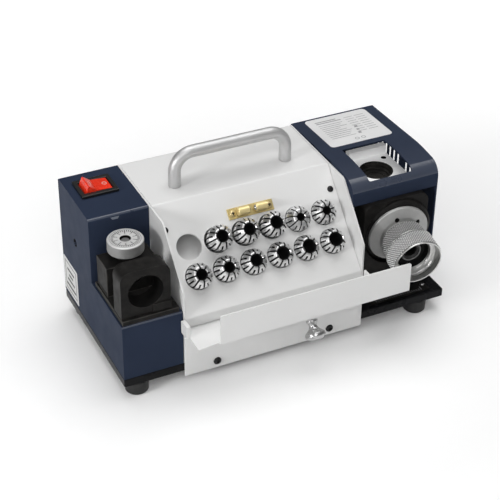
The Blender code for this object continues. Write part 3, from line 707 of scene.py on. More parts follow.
def build_left_housing():
    right = COVER_LEFT - GAP
    outer = rounded(((0, SHELL_BOTTOM), (0, STEP_TOP), (STEP_DEPTH, STEP_TOP), (STEP_DEPTH, TOP),
                     (DEPTH, TOP), (DEPTH, SHELL_BOTTOM)), (0, 2.0, 0, 3.0, 3.0, 0))
    housing = new_piece("left_shell", prism(outer, 0, right, "yz"), NAVY)
    inner = ((SHEET, 10), (SHEET, STEP_TOP - SHEET), (STEP_DEPTH + SHEET, STEP_TOP - SHEET),
             (STEP_DEPTH + SHEET, TOP - SHEET), (DEPTH - SHEET, TOP - SHEET), (DEPTH - SHEET, 10))
    carve(housing, prism(inner, SHEET, right + 10, "yz"))
    x, y, z = SWITCH
    carve(housing, block((x - 14.6, y - 10.6, z - 5), (x + 14.6, y + 10.6, z + 9)))
    carve(housing, block((14.7, DEPTH - 6, 41.7), (41.3, DEPTH + 6, 61.3)))
    carve(housing, bar(at(-3, 110.4, 97.1), at(6, 110.4, 97.1), 3.9, 32), SHADOW_BLACK)
    soften(housing, 0.9, 3)
    # Painted highlight: the rounded top front edges get the lighter navy.
    repaint(housing, NAVY_HIGHLIGHT, lambda normal: normal.z > 0.3 and normal.y < -0.3)
    register(housing, "machine", "navy_paint", "left_housing")
    # A small pale patch on the front face just under the top edge.
    patch = prism(((20.4, 141.0), (28.4, 141.0), (27.0, 138.6), (22.0, 138.6)), STEP_DEPTH - 0.12,
                  STEP_DEPTH + 0.3, "xz")
    add_crisp("front_patch", patch, PALE_PATCH, ("machine", "navy_paint"))


def cap_line(inset):
    """The cap's side line from the foot of its front band, round the roll and back over the crest."""
    front = CAP_FRONT + inset
    crest_y, crest_z = CAP_CREST
    points = ((front, CAP_BAND_BOTTOM), (front, TOP - inset), (crest_y, crest_z - inset),
              (DEPTH - inset, TOP - inset))
    return rounded(points, (0, CAP_ROLL - inset, 150.0, 0), 16)


def lay_on_cap(mesh):
    """Leans a flat shape drawn at the height of the flat top onto the slope behind the cap's crest."""
    crest_y, crest_z = CAP_CREST
    lean = Matrix.Identity(4)
    slope = (crest_z - TOP) / (DEPTH - crest_y)
    lean[2][1] = -slope
    lean[2][3] = slope * (DEPTH - MIDDLE_Y) * MM
    mesh.transform(lean)
    return mesh


def build_right_housing():
    left = COVER_RIGHT + GAP
    outer = [(CAP_FRONT, SHELL_BOTTOM)] + cap_line(0)[1:] + [(DEPTH, SHELL_BOTTOM)]
    housing = new_piece("right_shell", prism(outer, left, WIDTH, "yz"), NAVY)
    inner = [(5.0, 10.0), (5.0, CAP_BAND_BOTTOM)] + cap_line(SHEET) + [(DEPTH - SHEET, 10.0)]
    carve(housing, prism(inner, left - 10, WIDTH - SHEET, "yz"))
    web = cap_line(GAP)
    web = [place for place in web if place[0] < 70.0] + [(70.0, CAP_BAND_BOTTOM)]
    join(housing, prism(web, left, left + SHEET, "yz"))
    opening = rectangle(250.0, 30.2, 294.6, 81.5, 1.6)
    carve(housing, prism(opening, 128.0, 152.0, "xy"))
    slots = []
    for index in (0, 1, 3, 4, 5, 6, 7, 8):
        y = 71.5 + 7.4 * index
        slots.append(prism(rectangle(y - 2.3, 97.0, y + 2.3, 122.0, 1.2, 4), WIDTH - 6, WIDTH + 6, "yz"))
    carve(housing, several(slots))
    soften(housing, 0.8, 3)
    # Painted highlight: the faces turned up and forward, on the cap's roll and edges, get the lighter navy.
    repaint(housing, NAVY_HIGHLIGHT, lambda normal: normal.z > 0.3 and normal.y < -0.3)
    # Painted light: the faces that point up get the lighter navy.
    repaint(housing, NAVY_LIT_TOP, lambda normal: normal.z > 0.95)
    register(housing, "machine", "navy_paint", "right_housing")


def build_cover():
    corners = ((DEPTH, SHELL_BOTTOM), (DEPTH, TOP), (PANEL_TOP_Y, TOP),
               (PANEL_FOOT_Y, PANEL_FOOT_Z), (PANEL_FOOT_Y, DRAWER_FLOOR + 0.6))
    outline = strip(rounded(corners, (0, 3.4, 2.5, 2.5, 0), 6), SHEET)
    inner_left = COVER_LEFT + SHEET + GAP
    inner_right = COVER_RIGHT - SHEET - GAP
    cover = new_piece("cover", prism(outline, inner_left, inner_right, "yz"), WHITE)
    holes = []
    for row in (ROW_UPPER, ROW_LOWER):
        for column in range(6):
            x = COLUMN_FIRST_X + COLUMN_PITCH * column
            holes.append(bar(panel_point(x, row, -8), panel_point(x, row, 6), HOLE_RADIUS, 64))
    carve(cover, several(holes))
    slots = []
    for index in range(8):
        x = 96.0 + 13.5 * index
        slots.append(prism(rectangle(x - 1.5, 58, x + 1.5, 104, 1.4, 4), DEPTH - 6, DEPTH + 6, "xz"))
    carve(cover, several(slots))
    soften(cover, 0.25, 2)
    register(cover, "machine", "white_paint", "centre_cover")
    cheek = rounded(((0, SHELL_BOTTOM), (0, 96.9), (42.3, TOP), (DEPTH, TOP), (DEPTH, SHELL_BOTTOM)),
                    (0, 5.0, 7.0, 3.0, 0))
    left = new_piece("cheek_left", prism(cheek, COVER_LEFT, COVER_LEFT + SHEET, "yz"), WHITE)
    soften(left, 0.35, 2)
    register(left, "machine", "white_paint", "left_cheek")
    right = new_piece("cheek_right", prism(cheek, COVER_RIGHT - SHEET, COVER_RIGHT, "yz"), WHITE)
    carve(right, bar(at(COVER_RIGHT - 8, 104, 75), at(COVER_RIGHT + 8, 104, 75), 14))
    soften(right, 0.35, 2)
    register(right, "machine", "white_paint", "right_cheek")
    plate_top = DRAWER_FLOOR - DRAWER_SHEET - 0.6
    plate = new_piece("lower_plate", block((COVER_LEFT, PLATE_FRONT_Y, 9.3), (COVER_RIGHT, -GAP, plate_top)),
                      WHITE)
    soften(plate, 0.3, 2)
    register(plate, "machine", "white_paint", "front_plate")


def build_rack():
    """The moulded sockets behind the panel: closed at the bottom and tapered like the collets."""
    corners = []
    bottom = -RACK_DEPTH - RACK_THICKNESS
    for down, out in ((27, -SHEET - GAP), (87, -SHEET - GAP), (87, bottom), (27, bottom)):
        place = panel_point(0, down, out) / MM
        corners.append((place.y + MIDDLE_Y, place.z))
    rack = new_piece("rack", prism(corners, 62, 225.5, "yz"), RACK_PLASTIC)
    turn = facing(PANEL_NORMAL).to_matrix().to_4x4()
    sockets = []
    for row in (ROW_UPPER, ROW_LOWER):
        for column in range(6):
            empty = row == ROW_UPPER and column == 0
            taper = ((0, 2), (HOLE_RADIUS, 2), (HOLE_RADIUS, -6.0), (8.7, -RACK_DEPTH + 0.6),
                     (0, -RACK_DEPTH + 0.6))
            radii = (0, 0, 3.0, 0.6, 0)
            if empty:
                taper = ((0, 2), (HOLE_RADIUS, 2), (HOLE_RADIUS - 0.4, -15.0), (0, -15.5))
                radii = (0, 0, 8.5, 0)
            socket = lathe_mesh(rounded(taper, radii, 14), 64, closed=False)
            place = panel_point(COLUMN_FIRST_X + COLUMN_PITCH * column, row, 0)
            socket.transform(Matrix.Translation(place) @ turn)
            if empty:
                # The empty socket's walls get the painted shade.
                carve(rack, socket, SHADED_SOCKET)
            else:
                sockets.append(socket)
    carve(rack, several(sockets))
    crease(rack)
    register(rack, "machine", "white_plastic", "collet_rack")


def slit_cutters(bore):
    """Eight slots sawn in from the front and eight from the back, as spring collets have."""
    width = 1.15 if bore < 8 else 1.5
    slots = []
    for index in range(16):
        from_front = index % 2 == 0
        high, low = (2.0, -24.0) if from_front else (-2.2, -COLLET_LENGTH - 2)
        inner, outer = bore / 2 - 0.3, COLLET_RADIUS + 2
        place = Matrix.Rotation(2 * math.pi * index / 16 + 0.2, 4, "Z")
        place = place @ shifted((inner + outer) / 2, 0, (high + low) / 2)
        slots.append(slab(place @ sized(outer - inner, width, high - low)))
    return several(slots)


def collet_profile(bore):
    radius = bore / 2
    face = max(7.2, radius + 1.3)
    return [(radius, -COLLET_LENGTH), (radius, -0.35), (radius + 0.35, 0), (face - 0.5, 0), (face, -0.22),
            (COLLET_RADIUS - 0.3, -5.2), (COLLET_RADIUS, -5.6), (COLLET_RADIUS, -7.0), (10.1, -7.2),
            (10.1, -7.9), (COLLET_RADIUS, -8.1), (COLLET_RADIUS, -10.4), (7.6, -COLLET_LENGTH)][::-1]


def build_collets():
    rows = (("upper", ROW_UPPER, 1, UPPER_BORES, UPPER_HEIGHTS),
            ("lower", ROW_LOWER, 0, LOWER_BORES, LOWER_HEIGHTS))
    for row, down, first_column, bores, heights in rows:
        for index, (bore, height) in enumerate(zip(bores, heights)):
            x = COLUMN_FIRST_X + COLUMN_PITCH * (index + first_column)
            node = f"collet_{row}_{index + 1}"
            collet = new_piece(f"stored_{node}", lathe_mesh(collet_profile(bore), 96), CHROME,
                               panel_point(x, down, height), PANEL_NORMAL)
            collet.rotation_euler.rotate_axis("Z", 0.37 * index + 0.11 * down)
            carve(collet, slit_cutters(bore), SHADOW_BLACK, local=True)
            crease(collet, 25)
            register(collet, node + "_body", "polished_steel", node)
            # Painted shadow: a thin dark lining inside each collet's bore.
            lining = ((bore / 2 - 0.05, -0.9), (bore / 2 - 0.05, -26),
                      (bore / 2 - 0.5, -26), (bore / 2 - 0.5, -0.9))[::-1]
            add_turned(f"{node}_bore", lining, 48, SHADOW_BLACK, collet.location, PANEL_NORMAL,
                       (node + "_body", "polished_steel"))


def build_catch():
    corners = []
    for down, out in ((-5, GAP), (5, GAP), (5, 1.5), (-5, 1.5)):
        place = panel_point(0, CATCH_DOWN + down, out) / MM
        corners.append((place.y + MIDDLE_Y, place.z))
    plate = new_piece("catch_base", prism(corners, CATCH_X - 22, CATCH_X + 22, "yz"), BRASS_PLATE)
    soften(plate, 0.35, 2)
    register(plate, "machine", "brass", "catch_plate")
    for side, sign in (("left", -1), ("right", 1)):
        mouth = panel_point(CATCH_X + sign * 3.0, CATCH_DOWN, 5.6)
        profile = [(0, -7.5), (2.75, -7.5), (2.75, 0), (3.2, 0.0), (3.7, -0.5), (3.7, -10.6), (3.3, -11.0),
                   (0, -11.0)]
        add_turned(f"barrel_{side}", profile, 48, BRASS, mouth, (-sign, 0, 0),
                   ("machine", "brass", f"catch_barrel_{side}"), closed=False)
        shape = bmesh.new()
        bmesh.ops.create_uvsphere(shape, u_segments=32, v_segments=16, radius=2.5 * MM)
        ball = new_piece(f"ball_{side}_bright", finished(shape), SCREW_BRIGHT,
                         mouth + Vector((sign * MM, 0, 0)))
        register(ball, f"ball_{side}", "polished_steel", f"catch_ball_{side}")
    for name, x in (("catch_screw_left", CATCH_X - 17.6), ("catch_screw_right", CATCH_X + 17.6)):
        add_screw(name, panel_point(x, CATCH_DOWN, 1.5), PANEL_NORMAL, 3.1, SCREW_BRASS)


def build_drawer():
    back = DRAWER_BACK
    left, right, lip_top = DRAWER_LIP
    bottom = DRAWER_FLOOR - DRAWER_SHEET
    floor = ((60, back), (60, -0.6), (56.5, -0.6), (56.5, DRAWER_FRONT - 1.0),
             (left - 0.6, DRAWER_FRONT + 1.6), (left, DRAWER_FRONT), (right, DRAWER_FRONT),
             (right, -0.6), (227, -0.6), (227, back))
    drawer = new_piece("chip_drawer", prism(floor, bottom, DRAWER_FLOOR, "xy"), WHITE)
    lip = rounded(((left, bottom + 0.2), (right, bottom + 0.2), (right, lip_top), (left, lip_top)),
                  (0, 2.0, 2.0, 1.0))
    join(drawer, prism(lip, DRAWER_FRONT - 0.1, DRAWER_FRONT + DRAWER_SHEET, "xz"))
    join(drawer, block((60.2, back - 1.4, bottom + 0.2), (226.8, back - 0.2, 63.0)))
    for ear_left, ear_right in ((53.4, 57.0), (231.8, 233.3)):
        ear = prism(rectangle(-12.0, bottom + 0.2, -0.8, 70.6, 0.8), ear_left, ear_right, "yz")
        join(drawer, ear)
    x = KNOB[0]
    wedge = ((DRAWER_FRONT + 2, bottom + 0.3), (-13.0, bottom + 0.3), (-13.0, 46.0),
             (DRAWER_FRONT + 2, bottom - 0.5))
    join(drawer, prism(wedge, x - 9, x + 9, "yz"))
    soften(drawer, 0.3, 2)
    register(drawer, "tray", "white_paint", "drawer")
    profile = rounded(((0, 18.7), (5.8, 18.5), (9.5, 15.6), (8.7, 12.4), (4.2, 8.8), (3.3, 5.2),
                       (5.2, 2.6), (5.2, 1.0), (0, 1.0)), (0, 3.0, 1.8, 1.6, 5.0, 3.0, 0.4, 0, 0), 6)
    add_turned("knob", profile, 64, KNOB_METAL, at(*KNOB), (0, -0.61, -0.79),
               ("tray", "polished_steel", "drawer_knob"), closed=False)


def build_handle():
    left, right = 89.0, 197.5
    radius, bend = 5.6, 17.0
    bottom = TOP + GAP
    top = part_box("carry_handle")[1].z / MM - radius
    line = rounded(((left, bottom), (left, top), (right, top), (right, bottom)), (0, bend, bend, 0), 20)
    curve = bpy.data.curves.new("handle_line", "CURVE")
    curve.dimensions = "3D"
    curve.bevel_depth = radius * MM
    curve.bevel_resolution = 10
    curve.use_fill_caps = True
    spline = curve.splines.new("POLY")
    spline.points.add(len(line) - 1)
    for point, (x, z) in zip(spline.points, line):
        point.co = (*at(x, 93.0, z), 1)
    handle = new_piece("bow_handle", mesh_of_curve("handle_line", curve), ALUMINIUM)
    crease(handle, 50)
    register(handle, "machine", "satin_aluminium", "carry_handle")


def build_switch():
    x, y, z = SWITCH
    low = TOP + GAP
    bezel = new_piece("bezel", block((x - 17, y - 14.2, low), (x + 17, y + 14.2, low + 2.6)), BLACK_PLASTIC)
    join(bezel, block((x - 14.3, y - 10.3, 124), (x + 14.3, y + 10.3, low + 0.5)))
    carve(bezel, block((x - 13.4, y - 9.4, 127), (x + 13.4, y + 9.4, low + 9)))
    soften(bezel, 0.6, 3)
    register(bezel, "machine", "black_plastic", "switch_bezel")
    outline = []
    for step in range(1, 24):
        angle = math.pi + math.pi * step / 24
        outline.append((ROCKER_RADIUS * math.cos(angle), ROCKER_RADIUS * math.sin(angle)))
    saddle = rounded(((ROCKER_TIP + 0.8, 1.5), (ROCKER_TIP, 7.3), (-3.0, 5.0), (-ROCKER_TIP, 8.4),
                      (-ROCKER_TIP - 0.8, 1.5)), (0, 0.8, 2.0, 0.8, 0), 5)[1:-1]
    shape = [(x + across, z + up) for across, up in outline + saddle]
    rocker = new_piece("rocker_key", prism(shape, y - 9.0, y + 9.0, "xz"), RED_PLASTIC)
    rocker.data.transform(Matrix.Translation(-at(x, y, z)))
    rocker.location = at(x, y, z)
    rocker.rotation_euler = (0, SWITCH_TILT, 0)
    soften(rocker, 0.7, 3, angle=40)
    register(rocker, "rocker", "red_plastic", "switch_rocker")
    dash = slab(shifted(-6.6, 0, 6.45) @ Matrix.Rotation(0.38, 4, "Y") @ sized(0.8, 5.0, 0.3))
    ring = lathe_mesh(((1.6, 0.15), (2.3, 0.15), (2.3, -0.15), (1.6, -0.15)), 32)
    ring.transform(shifted(6.8, 0, 6.6) @ Matrix.Rotation(-0.16, 4, "Y"))
    mark = new_piece("rocker_marks", several([dash, ring]), MARK_WHITE)
    mark.location = rocker.location
    mark.rotation_euler = rocker.rotation_euler
    crease(mark)
    register(mark, "rocker", "red_plastic")


def number_mesh(text, size):
    """A flat number, a little raised, centred on the local origin."""
    curve = bpy.data.curves.new("number", "FONT")
    curve.body = text
    curve.size = size * MM
    curve.extrude = 0.03 * MM
    curve.align_x = "CENTER"
    curve.align_y = "CENTER"
    return mesh_of_curve("number", curve)


def build_dial():
    x, y, z = GAUGE_DIAL
    profile = rounded(((4.5, 19.6), (16.0, 19.6), (16.0, 8.6), (7.0, 8.6), (7.0, 0), (4.5, 0)),
                      (0.4, 1.5, 1.0, 0, 0, 0), 6)
    dial = new_piece("dial_body", lathe_mesh(profile, 96), DIAL_METAL, at(x, y, z), (0, 0, 1))
    # Painted shade on the walls of the dial's hole.
    carve(dial, bar(at(x, y, z + 12.5), at(x, y, z + 22), 4.7, 48), OXIDE_SHADE)
    # Partly painted shade: the sides get the darker metal.
    repaint(dial, DIAL_SHADED_SIDE, lambda normal: abs(normal.z) < 0.6)
    # Painted shade: the underside and the faces round the pivot get the near-black oxide.
    repaint(dial, OXIDE_SHADE, lambda normal: normal.z < -0.6)
    for face in dial.data.polygons:
        if max(dial.data.vertices[index].co.xy.length for index in face.vertices) < 7.4 * MM:
            face.material_index = len(dial.data.materials) - 1
    crease(dial)
    register(dial, "dial", "turned_steel", "gauge_dial")
    marks = []
    for index in range(DIAL_TICKS):
        long = index % 4 == 0
        inner, outer = (9.0, 12.6) if long else (10.3, 12.6)
        place = Matrix.Rotation(2 * math.pi * index / DIAL_TICKS, 4, "Z")
        place = place @ shifted((inner + outer) / 2, 0, DIAL_TOP)
        marks.append(slab(place @ sized(outer - inner, 0.75, 0.12)))
    for index in range(10):
        number = number_mesh(str(index), 3.0)
        angle = 2 * math.pi * index / 10
        turn = Matrix.Rotation(angle - math.pi / 2, 4, "Z")
        spot = Vector((math.cos(angle) * 7.7, math.sin(angle) * 7.7, 19.61)) * MM
        number.transform(Matrix.Translation(spot) @ turn)
        marks.append(number)
    ring = lathe_mesh(((13.4, 19.62), (13.7, 19.62), (13.7, 19.5), (13.4, 19.5)), 96)
    marks.append(ring)
    add_crisp("dial_marks", several(marks), DARK_INK, ("dial", "turned_steel"), at(x, y, z))
    pivot = rounded(((0, 18.2), (3.6, 18.2), (3.6, 0), (0, 0)), (0, 0.5, 0, 0), 4)
    add_turned("dial_pivot", pivot, 48, DULL_STEEL, at(x, y, z), None,
               ("machine", "black_oxide", "gauge_pivot"), closed=False)


def build_gauge():
    low = STEP_TOP + GAP
    x, y, z = GAUGE_BORE
    base = new_piece("gauge_foot", block((1.2, 1.4, low), (53, 66, low + 4.6)), OXIDE)
    rear = prism(rectangle(3, low + 1, 49, GAUGE_DIAL[2] - GAP, 0.0), 40, 64, "xz")
    join(base, rear)
    # Painted shade on the bore's walls.
    carve(base, bar(at(x, 30, z), at(x, 80, z), 4.4, 32), OXIDE_SHADE)
    # Painted highlight: the rounded edges get the paler oxide.
    soften(base, 0.6, 2, PALE_OXIDE_AND_HIGHLIGHT)
    register(base, "machine", "black_oxide", "gauge_base")
    bottom = low + 4.6 + GAP
    outline = rounded(((1.6, bottom), (46.6, bottom), (46.6, 129.9), (1.6, 129.9)), (0, 0, 9.0, 9.0), 12)
    front = new_piece("gauge_front", prism(outline, y, y + 17, "xz"), OXIDE)
    cone = lathe_mesh(((0, 2), (16.6, 2), (15.6, -1.2), (14.6, -17.5), (0, -17.5)), 96, closed=False)
    cone.transform(Matrix.Translation(at(x, y, z)) @ facing((0, -1, 0)).to_matrix().to_4x4())
    # Painted shade on the walls of the cone recess.
    carve(front, cone, OXIDE_SHADE)
    join(front, block((x + 6, y - 1.4, bottom + 1), (46.4, y + 1, bottom + 8.6)))
    # Painted highlight: the rounded edges get the paler oxide.
    soften(front, 0.5, 3, PALE_OXIDE_AND_HIGHLIGHT)
    register(front, "machine", "black_oxide", "gauge_block")
    stop = new_piece("stop_plate", block((x - 11, 25, z - 12), (x + 11, 28.5, z + 12)), OXIDE)
    join(stop, bar(at(x, 27, z), at(x, 53, z), 4.0, 32))
    # Painted shade on the bore's walls.
    carve(stop, bar(at(x, 20, z), at(x, 26, z), 4.0, 32), OXIDE_SHADE)
    soften(stop, 0.4, 2)
    register(stop, "stop", "turned_steel", "gauge_stop")
    build_dial()


def knurl_mesh(radius, low, high, pitch, depth):
    """A ring whose outside is a diamond knurl: a lattice of points, every second one raised."""
    around = 2 * round(2 * math.pi * radius / pitch)
    rows = max(2, round((high - low) / (pitch / 2)))
    shape = bmesh.new()
    lattice = []
    for row in range(rows + 1):
        height = low + (high - low) * row / rows
        ring = []
        for column in range(around):
            raised = (row + column) % 2 == 1 and 0 < row < rows
            reach = radius if raised else radius - depth
            angle = 2 * math.pi * column / around
            ring.append(shape.verts.new((reach * math.cos(angle) * MM, reach * math.sin(angle) * MM,
                                         height * MM)))
        lattice.append(ring)
    for row in range(rows):
        for column in range(around):
            after = (column + 1) % around
            a, b = lattice[row][column], lattice[row][after]
            c, d = lattice[row + 1][after], lattice[row + 1][column]
            if (row + column) % 2 == 0:
                faces = ((a, b, c), (a, c, d))
            else:
                faces = ((a, b, d), (b, c, d))
            for face in faces:
                shape.faces.new(face)
    inner = []
    for height in (low, high):
        reach = radius - depth - 1.2
        inner.append([shape.verts.new((reach * math.cos(2 * math.pi * column / around) * MM,
                                       reach * math.sin(2 * math.pi * column / around) * MM,
                                       height * MM)) for column in range(around)])
    for first, second in ((inner[0], lattice[0]), (lattice[-1], inner[1]), (inner[1], inner[0])):
        for column in range(around):
            after = (column + 1) % around
            shape.faces.new((first[column], first[after], second[after], second[column]))
    mesh = finished(shape)
    mesh.shade_flat()
    return mesh


def build_port():
    left, right = PORT_PIVOT[0] - 33, PORT_PIVOT[0] + 33
    outline = rounded(((left, 24.4), (right, 24.4), (right, 121.3), (left, 121.3)), (0, 0, 9.0, 9.0), 12)
    centre = at(*CHUCK)
    port = new_piece("port_body", prism(outline, 21, 40, "xz"), OXIDE)
    # Painted shade on the walls of the two recesses round the chuck.
    carve(port, bar(centre - CHUCK_AXIS * 9.3 * MM, centre + CHUCK_AXIS * 12 * MM, 33.4, 96), OXIDE_SHADE)
    carve(port, bar(centre - CHUCK_AXIS * 45 * MM, centre + CHUCK_AXIS * 3 * MM, 20.4, 96), OXIDE_SHADE)
    # Painted highlight: the rounded edges get the paler oxide.
    soften(port, 0.6, 2, PALE_OXIDE_AND_HIGHLIGHT)
    register(port, "port", "black_oxide", "port_block")
    ring = ((15.9, -3.2), (31.2, -3.2), (33.0, -4.6), (33.0, -9.0), (20.0, -9.0), (20.0, -28.0),
            (15.9, -28.0))
    add_turned("port_ring", rounded(ring, (0, 0.8, 0.8, 0, 0, 0, 0), 4), 96, OXIDE, centre, CHUCK_AXIS,
               ("sleeve", "black_oxide", "port_sleeve"))
    body = ((8.3, 25.7), (11.6, 25.7), (11.6, 23.4), (20.1, 23.4), (20.1, 8.2), (17.2, 7.8), (17.2, 3.8),
            (20.6, 3.8), (28.0, 0), (28.6, 0), (29.2, -1.0), (29.2, -2.9), (15.6, -2.9), (15.6, -30.0),
            (8.3, -30.0))
    radii = (0, 0, 0, 0, 0, 0, 0, 0.5, 0.2, 0.2, 0.4, 0.2, 0, 0, 0)
    shell = lathe_mesh(rounded(body, radii, 4), 96)
    chuck = new_piece("chuck_shell", shell, MATT_STEEL, centre, CHUCK_AXIS)
    for turn in (40.0, 106.0):
        spot = Matrix.Rotation(math.radians(turn), 3, "Z") @ Vector((20.2 * MM, 0, 0))
        hole = bar(spot + Vector((0, 0, 6.0)) * MM, spot - Vector((0, 0, 2.5)) * MM, 2.3, 32)
        carve(chuck, hole, SHADOW_BLACK, local=True)
    crease(chuck)
    register(chuck, "chuck", "turned_steel", "chuck_body")
    neck = new_piece("neck_knurl", knurl_mesh(21.5, 8.2, 22.9, 2.5, 0.9), NECK_KNURL, centre, CHUCK_AXIS)
    register(neck, "chuck", "turned_steel")
    nut = ((21.5, 42.4), (22.6, 42.4), (22.6, 41.2), (22.2, 41.2), (22.2, 24.6), (23.3, 24.4),
           (23.3, 23.7), (13.5, 23.7), (13.5, 26.0), (16.2, 32.6), (17.2, 33.3), (20.3, 33.5), (20.9, 35.0))
    radii = (0.3, 0.4, 0, 0, 0, 0.2, 0.2, 0, 0.3, 0.8, 0.3, 0.6, 0.6)
    add_turned("nut_shell", rounded(nut, radii, 4), 96, STEEL, centre, CHUCK_AXIS,
               ("nut", "turned_steel", "chuck_nut"))
    grip = new_piece("nut_knurl", knurl_mesh(23.5, 24.4, 41.5, 2.5, 0.9), NUT_KNURL, centre, CHUCK_AXIS)
    register(grip, "nut", "turned_steel")
    # Painted shade: a thin near-black ring sheet down in the nut's cup.
    recess = ((9.9, 26.3), (13.3, 26.3), (15.0, 30.4), (15.3, 30.4), (13.45, 25.8), (9.9, 25.8))
    add_turned("nut_recess_shadow", recess, 96, OXIDE_SHADE, centre, CHUCK_AXIS, ("chuck", "black_oxide"))
    collet = ((8.2, 27.6), (9.2, 27.6), (9.8, 26.4), (9.8, 24.0), (7.8, 24.0), (7.4, 2.5), (6.6, 2.5),
              (6.6, 24.0))
    add_turned("held_collet", rounded(collet, (0.2, 0.3, 0, 0, 0, 0, 0, 0), 4), 96, DULL_STEEL, centre,
               CHUCK_AXIS, ("chuck", "polished_steel", "chuck_collet"))
    # Painted shadow: a thin dark lining inside the held collet's bore.
    lining = ((8.15, 27.0), (8.15, 24.4), (6.5, 24.4), (6.5, 3.0), (6.1, 3.0), (6.1, 23.9), (7.7, 23.9),
              (7.7, 27.0))
    add_turned("held_collet_bore", lining, 64, SHADOW_BLACK, centre, CHUCK_AXIS, ("chuck", "polished_steel"))


def build_scale():
    """The angle scale under the port, with its tick marks and screw."""
    plate = new_piece("scale_plate", block((246, 4, SHELL_BOTTOM), (308, 17, SHELL_BOTTOM + 1.0)), OXIDE)
    soften(plate, 0.25, 2)
    register(plate, "machine", "black_oxide", "angle_scale")
    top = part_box("angle_scale")[1].z / MM
    ticks = []
    for index in range(21):
        x = 252.0 + 2.4 * index
        reach = 10.5 if index % 5 == 0 else 8.0
        ticks.append(block((x - 0.2, 5.5, top - 0.1), (x + 0.2, reach, top + 0.05)))
    add_crisp("scale_marks", several(ticks), FINE_INK, ("machine", "black_oxide"))
    add_screw("scale_screw", at(304.4, 12.5, top), (0, 0, 1), 2.2, KNOB_METAL)


def build_thinning_port():
    bracket = new_piece("bracket", block((264, 53, 115), (BRACKET_RIGHT, 104, 120.9)), BRACKET)
    right = BRACKET_RIGHT - 0.1
    join(bracket, block((267.5, 97.5, 115.5), (right, 103.8, 129.0)))
    join(bracket, block((right - 3.8, 66, SHELL_BOTTOM), (right, 103.6, 115.6)))
    # Painted shade on the walls of the screw hole and the thinning bore.
    carve(bracket, bar(at(*BRACKET_SCREW, 117), at(*BRACKET_SCREW, 125), 2.6, 32), OXIDE_SHADE)
    carve(bracket, bar(at(*THINNING_BORE, 100), at(*THINNING_BORE, 140), 15.8, 96), OXIDE_SHADE)
    soften(bracket, 0.5, 2)
    register(bracket, "machine", "satin_aluminium", "thinning_port")
    liner = ((15.7, 120.2), (15.7, 112.0), (0, 112.0), (0, 112.4), (9.0, 112.4), (9.0, 113.2),
             (12.6, 113.2), (12.6, 115.0), (14.6, 115.4), (14.6, 118.4), (15.2, 118.8), (15.2, 120.2))
    add_turned("bracket_bore", liner, 96, PALE_OXIDE_AND_HIGHLIGHT, at(*THINNING_BORE, 0), (0, 0, 1),
               ("machine", "black_oxide"))
    add_screw("bracket_screw", at(*BRACKET_SCREW, 118.2), (0, 0, 1), 2.3, SCREW_BLACK, recess="hex")


def label(name, mesh, marks, material=LABEL, ink=FINE_INK):
    """A thin film with generic lines on it."""
    add_crisp(name, mesh, material, ("machine", "white_plastic"))
    add_crisp(name + "_lines", several(marks), ink, ("machine", "white_plastic"))


def build_labels():
    low, high = TOP + 0.02, TOP + 0.22
    marks = []
    left, right, near, far = 243.9, 308.6, 88.6, 145.4

    def line(x0, x1, y, thick):
        marks.append(block((x0, y - thick / 2, high - 0.05), (x1, y + thick / 2, high + 0.03)))

    line(left + 8, left + 30, far - 7.5, 1.4)
    line(left + 8, left + 34, far - 10.5, 1.4)
    for index, share in enumerate((0.42, 0.36, 0.44, 0.30, 0.38, 0.44, 0.40, 0.36, 0.42)):
        line(left + 8, left + 8 + 60 * share, far - 15 - 3.4 * index, 0.7)
    for index in range(8):
        y = far - 9 - 4.2 * index
        line(left + 38, left + 47, y, 0.7)
        line(left + 49, left + 59, y, 0.7)
    for index in range(2):
        ring = lathe_mesh(((2.2, 0.03), (2.2, -0.05), (1.5, -0.05), (1.5, 0.03)), 32)
        ring.transform(Matrix.Translation(at(left + 30 + 6.5 * index, near + 6.5, high)))
        marks.append(ring)
    for index, size in enumerate((1.6, 1.3, 1.6)):
        across, y = left + 38 + 1.2 * index, near + 16 + 6 * index
        marks.append(block((across - size, y - size, high - 0.05), (across + size, y + size, high + 0.03)))
    for mesh in marks:
        lay_on_cap(mesh)
    outline = lay_on_cap(prism(rectangle(left, near, right, far, 4.0, 8), low, high, "xy"))
    label("top_label", outline, marks)
    marks = []
    for width, z in ((9, 52.5), (5, 47), (9, 41.5), (12, 35.0)):
        marks.append(block((-0.20, 129 - width, z - 1.3), (-0.12, 129 + width, z + 1.3)))
    for y, z, deep, tall in ((115.5, 44.5, 0.5, 15.5), (142.5, 44.5, 0.5, 15.5), (129, 29.5, 13.5, 0.5),
                             (129, 59.5, 13.5, 0.5)):
        marks.append(block((-0.20, y - deep, z - tall), (-0.12, y + deep, z + tall)))
    film = prism(rectangle(111, 26, 147, 63, 1.0), -0.17, -0.01, "yz")
    label("side_label", film, marks, SIDE_LABEL, DARK_INK)


def build_screws():
    for name, x in (("panel_screw_left", 63.2), ("panel_screw_right", 224.4)):
        add_screw(name, panel_point(x, 23.6, 0), PANEL_NORMAL, 2.9, SCREW_BLACK, recess="hex")
    for name, x in (("plate_screw_left", 86.8), ("plate_screw_right", 198.4)):
        add_screw(name, at(x, PLATE_FRONT_Y, 16.5), (0, -1, 0), 3.7, SCREW_BLACK, recess="hex")
    for name, x, z in (("back_screw_1", 66, 30), ("back_screw_2", 222, 30), ("back_screw_3", 66, 134),
                       ("back_screw_4", 222, 134), ("back_screw_5", 240, 134), ("back_screw_6", 310, 134),
                       ("back_screw_7", 310, 30), ("back_screw_8", 8, 134), ("back_screw_9", 48, 30)):
        add_screw(name, at(x, DEPTH, z), (0, 1, 0), 2.9, SCREW_BLACK)
    for name, y in (("side_screw_front", 40.0), ("side_screw_rear", 138.0)):
        add_screw(name, at(WIDTH - 0.8, y, 31), (1, 0, 0), 2.9, SCREW_BLACK)


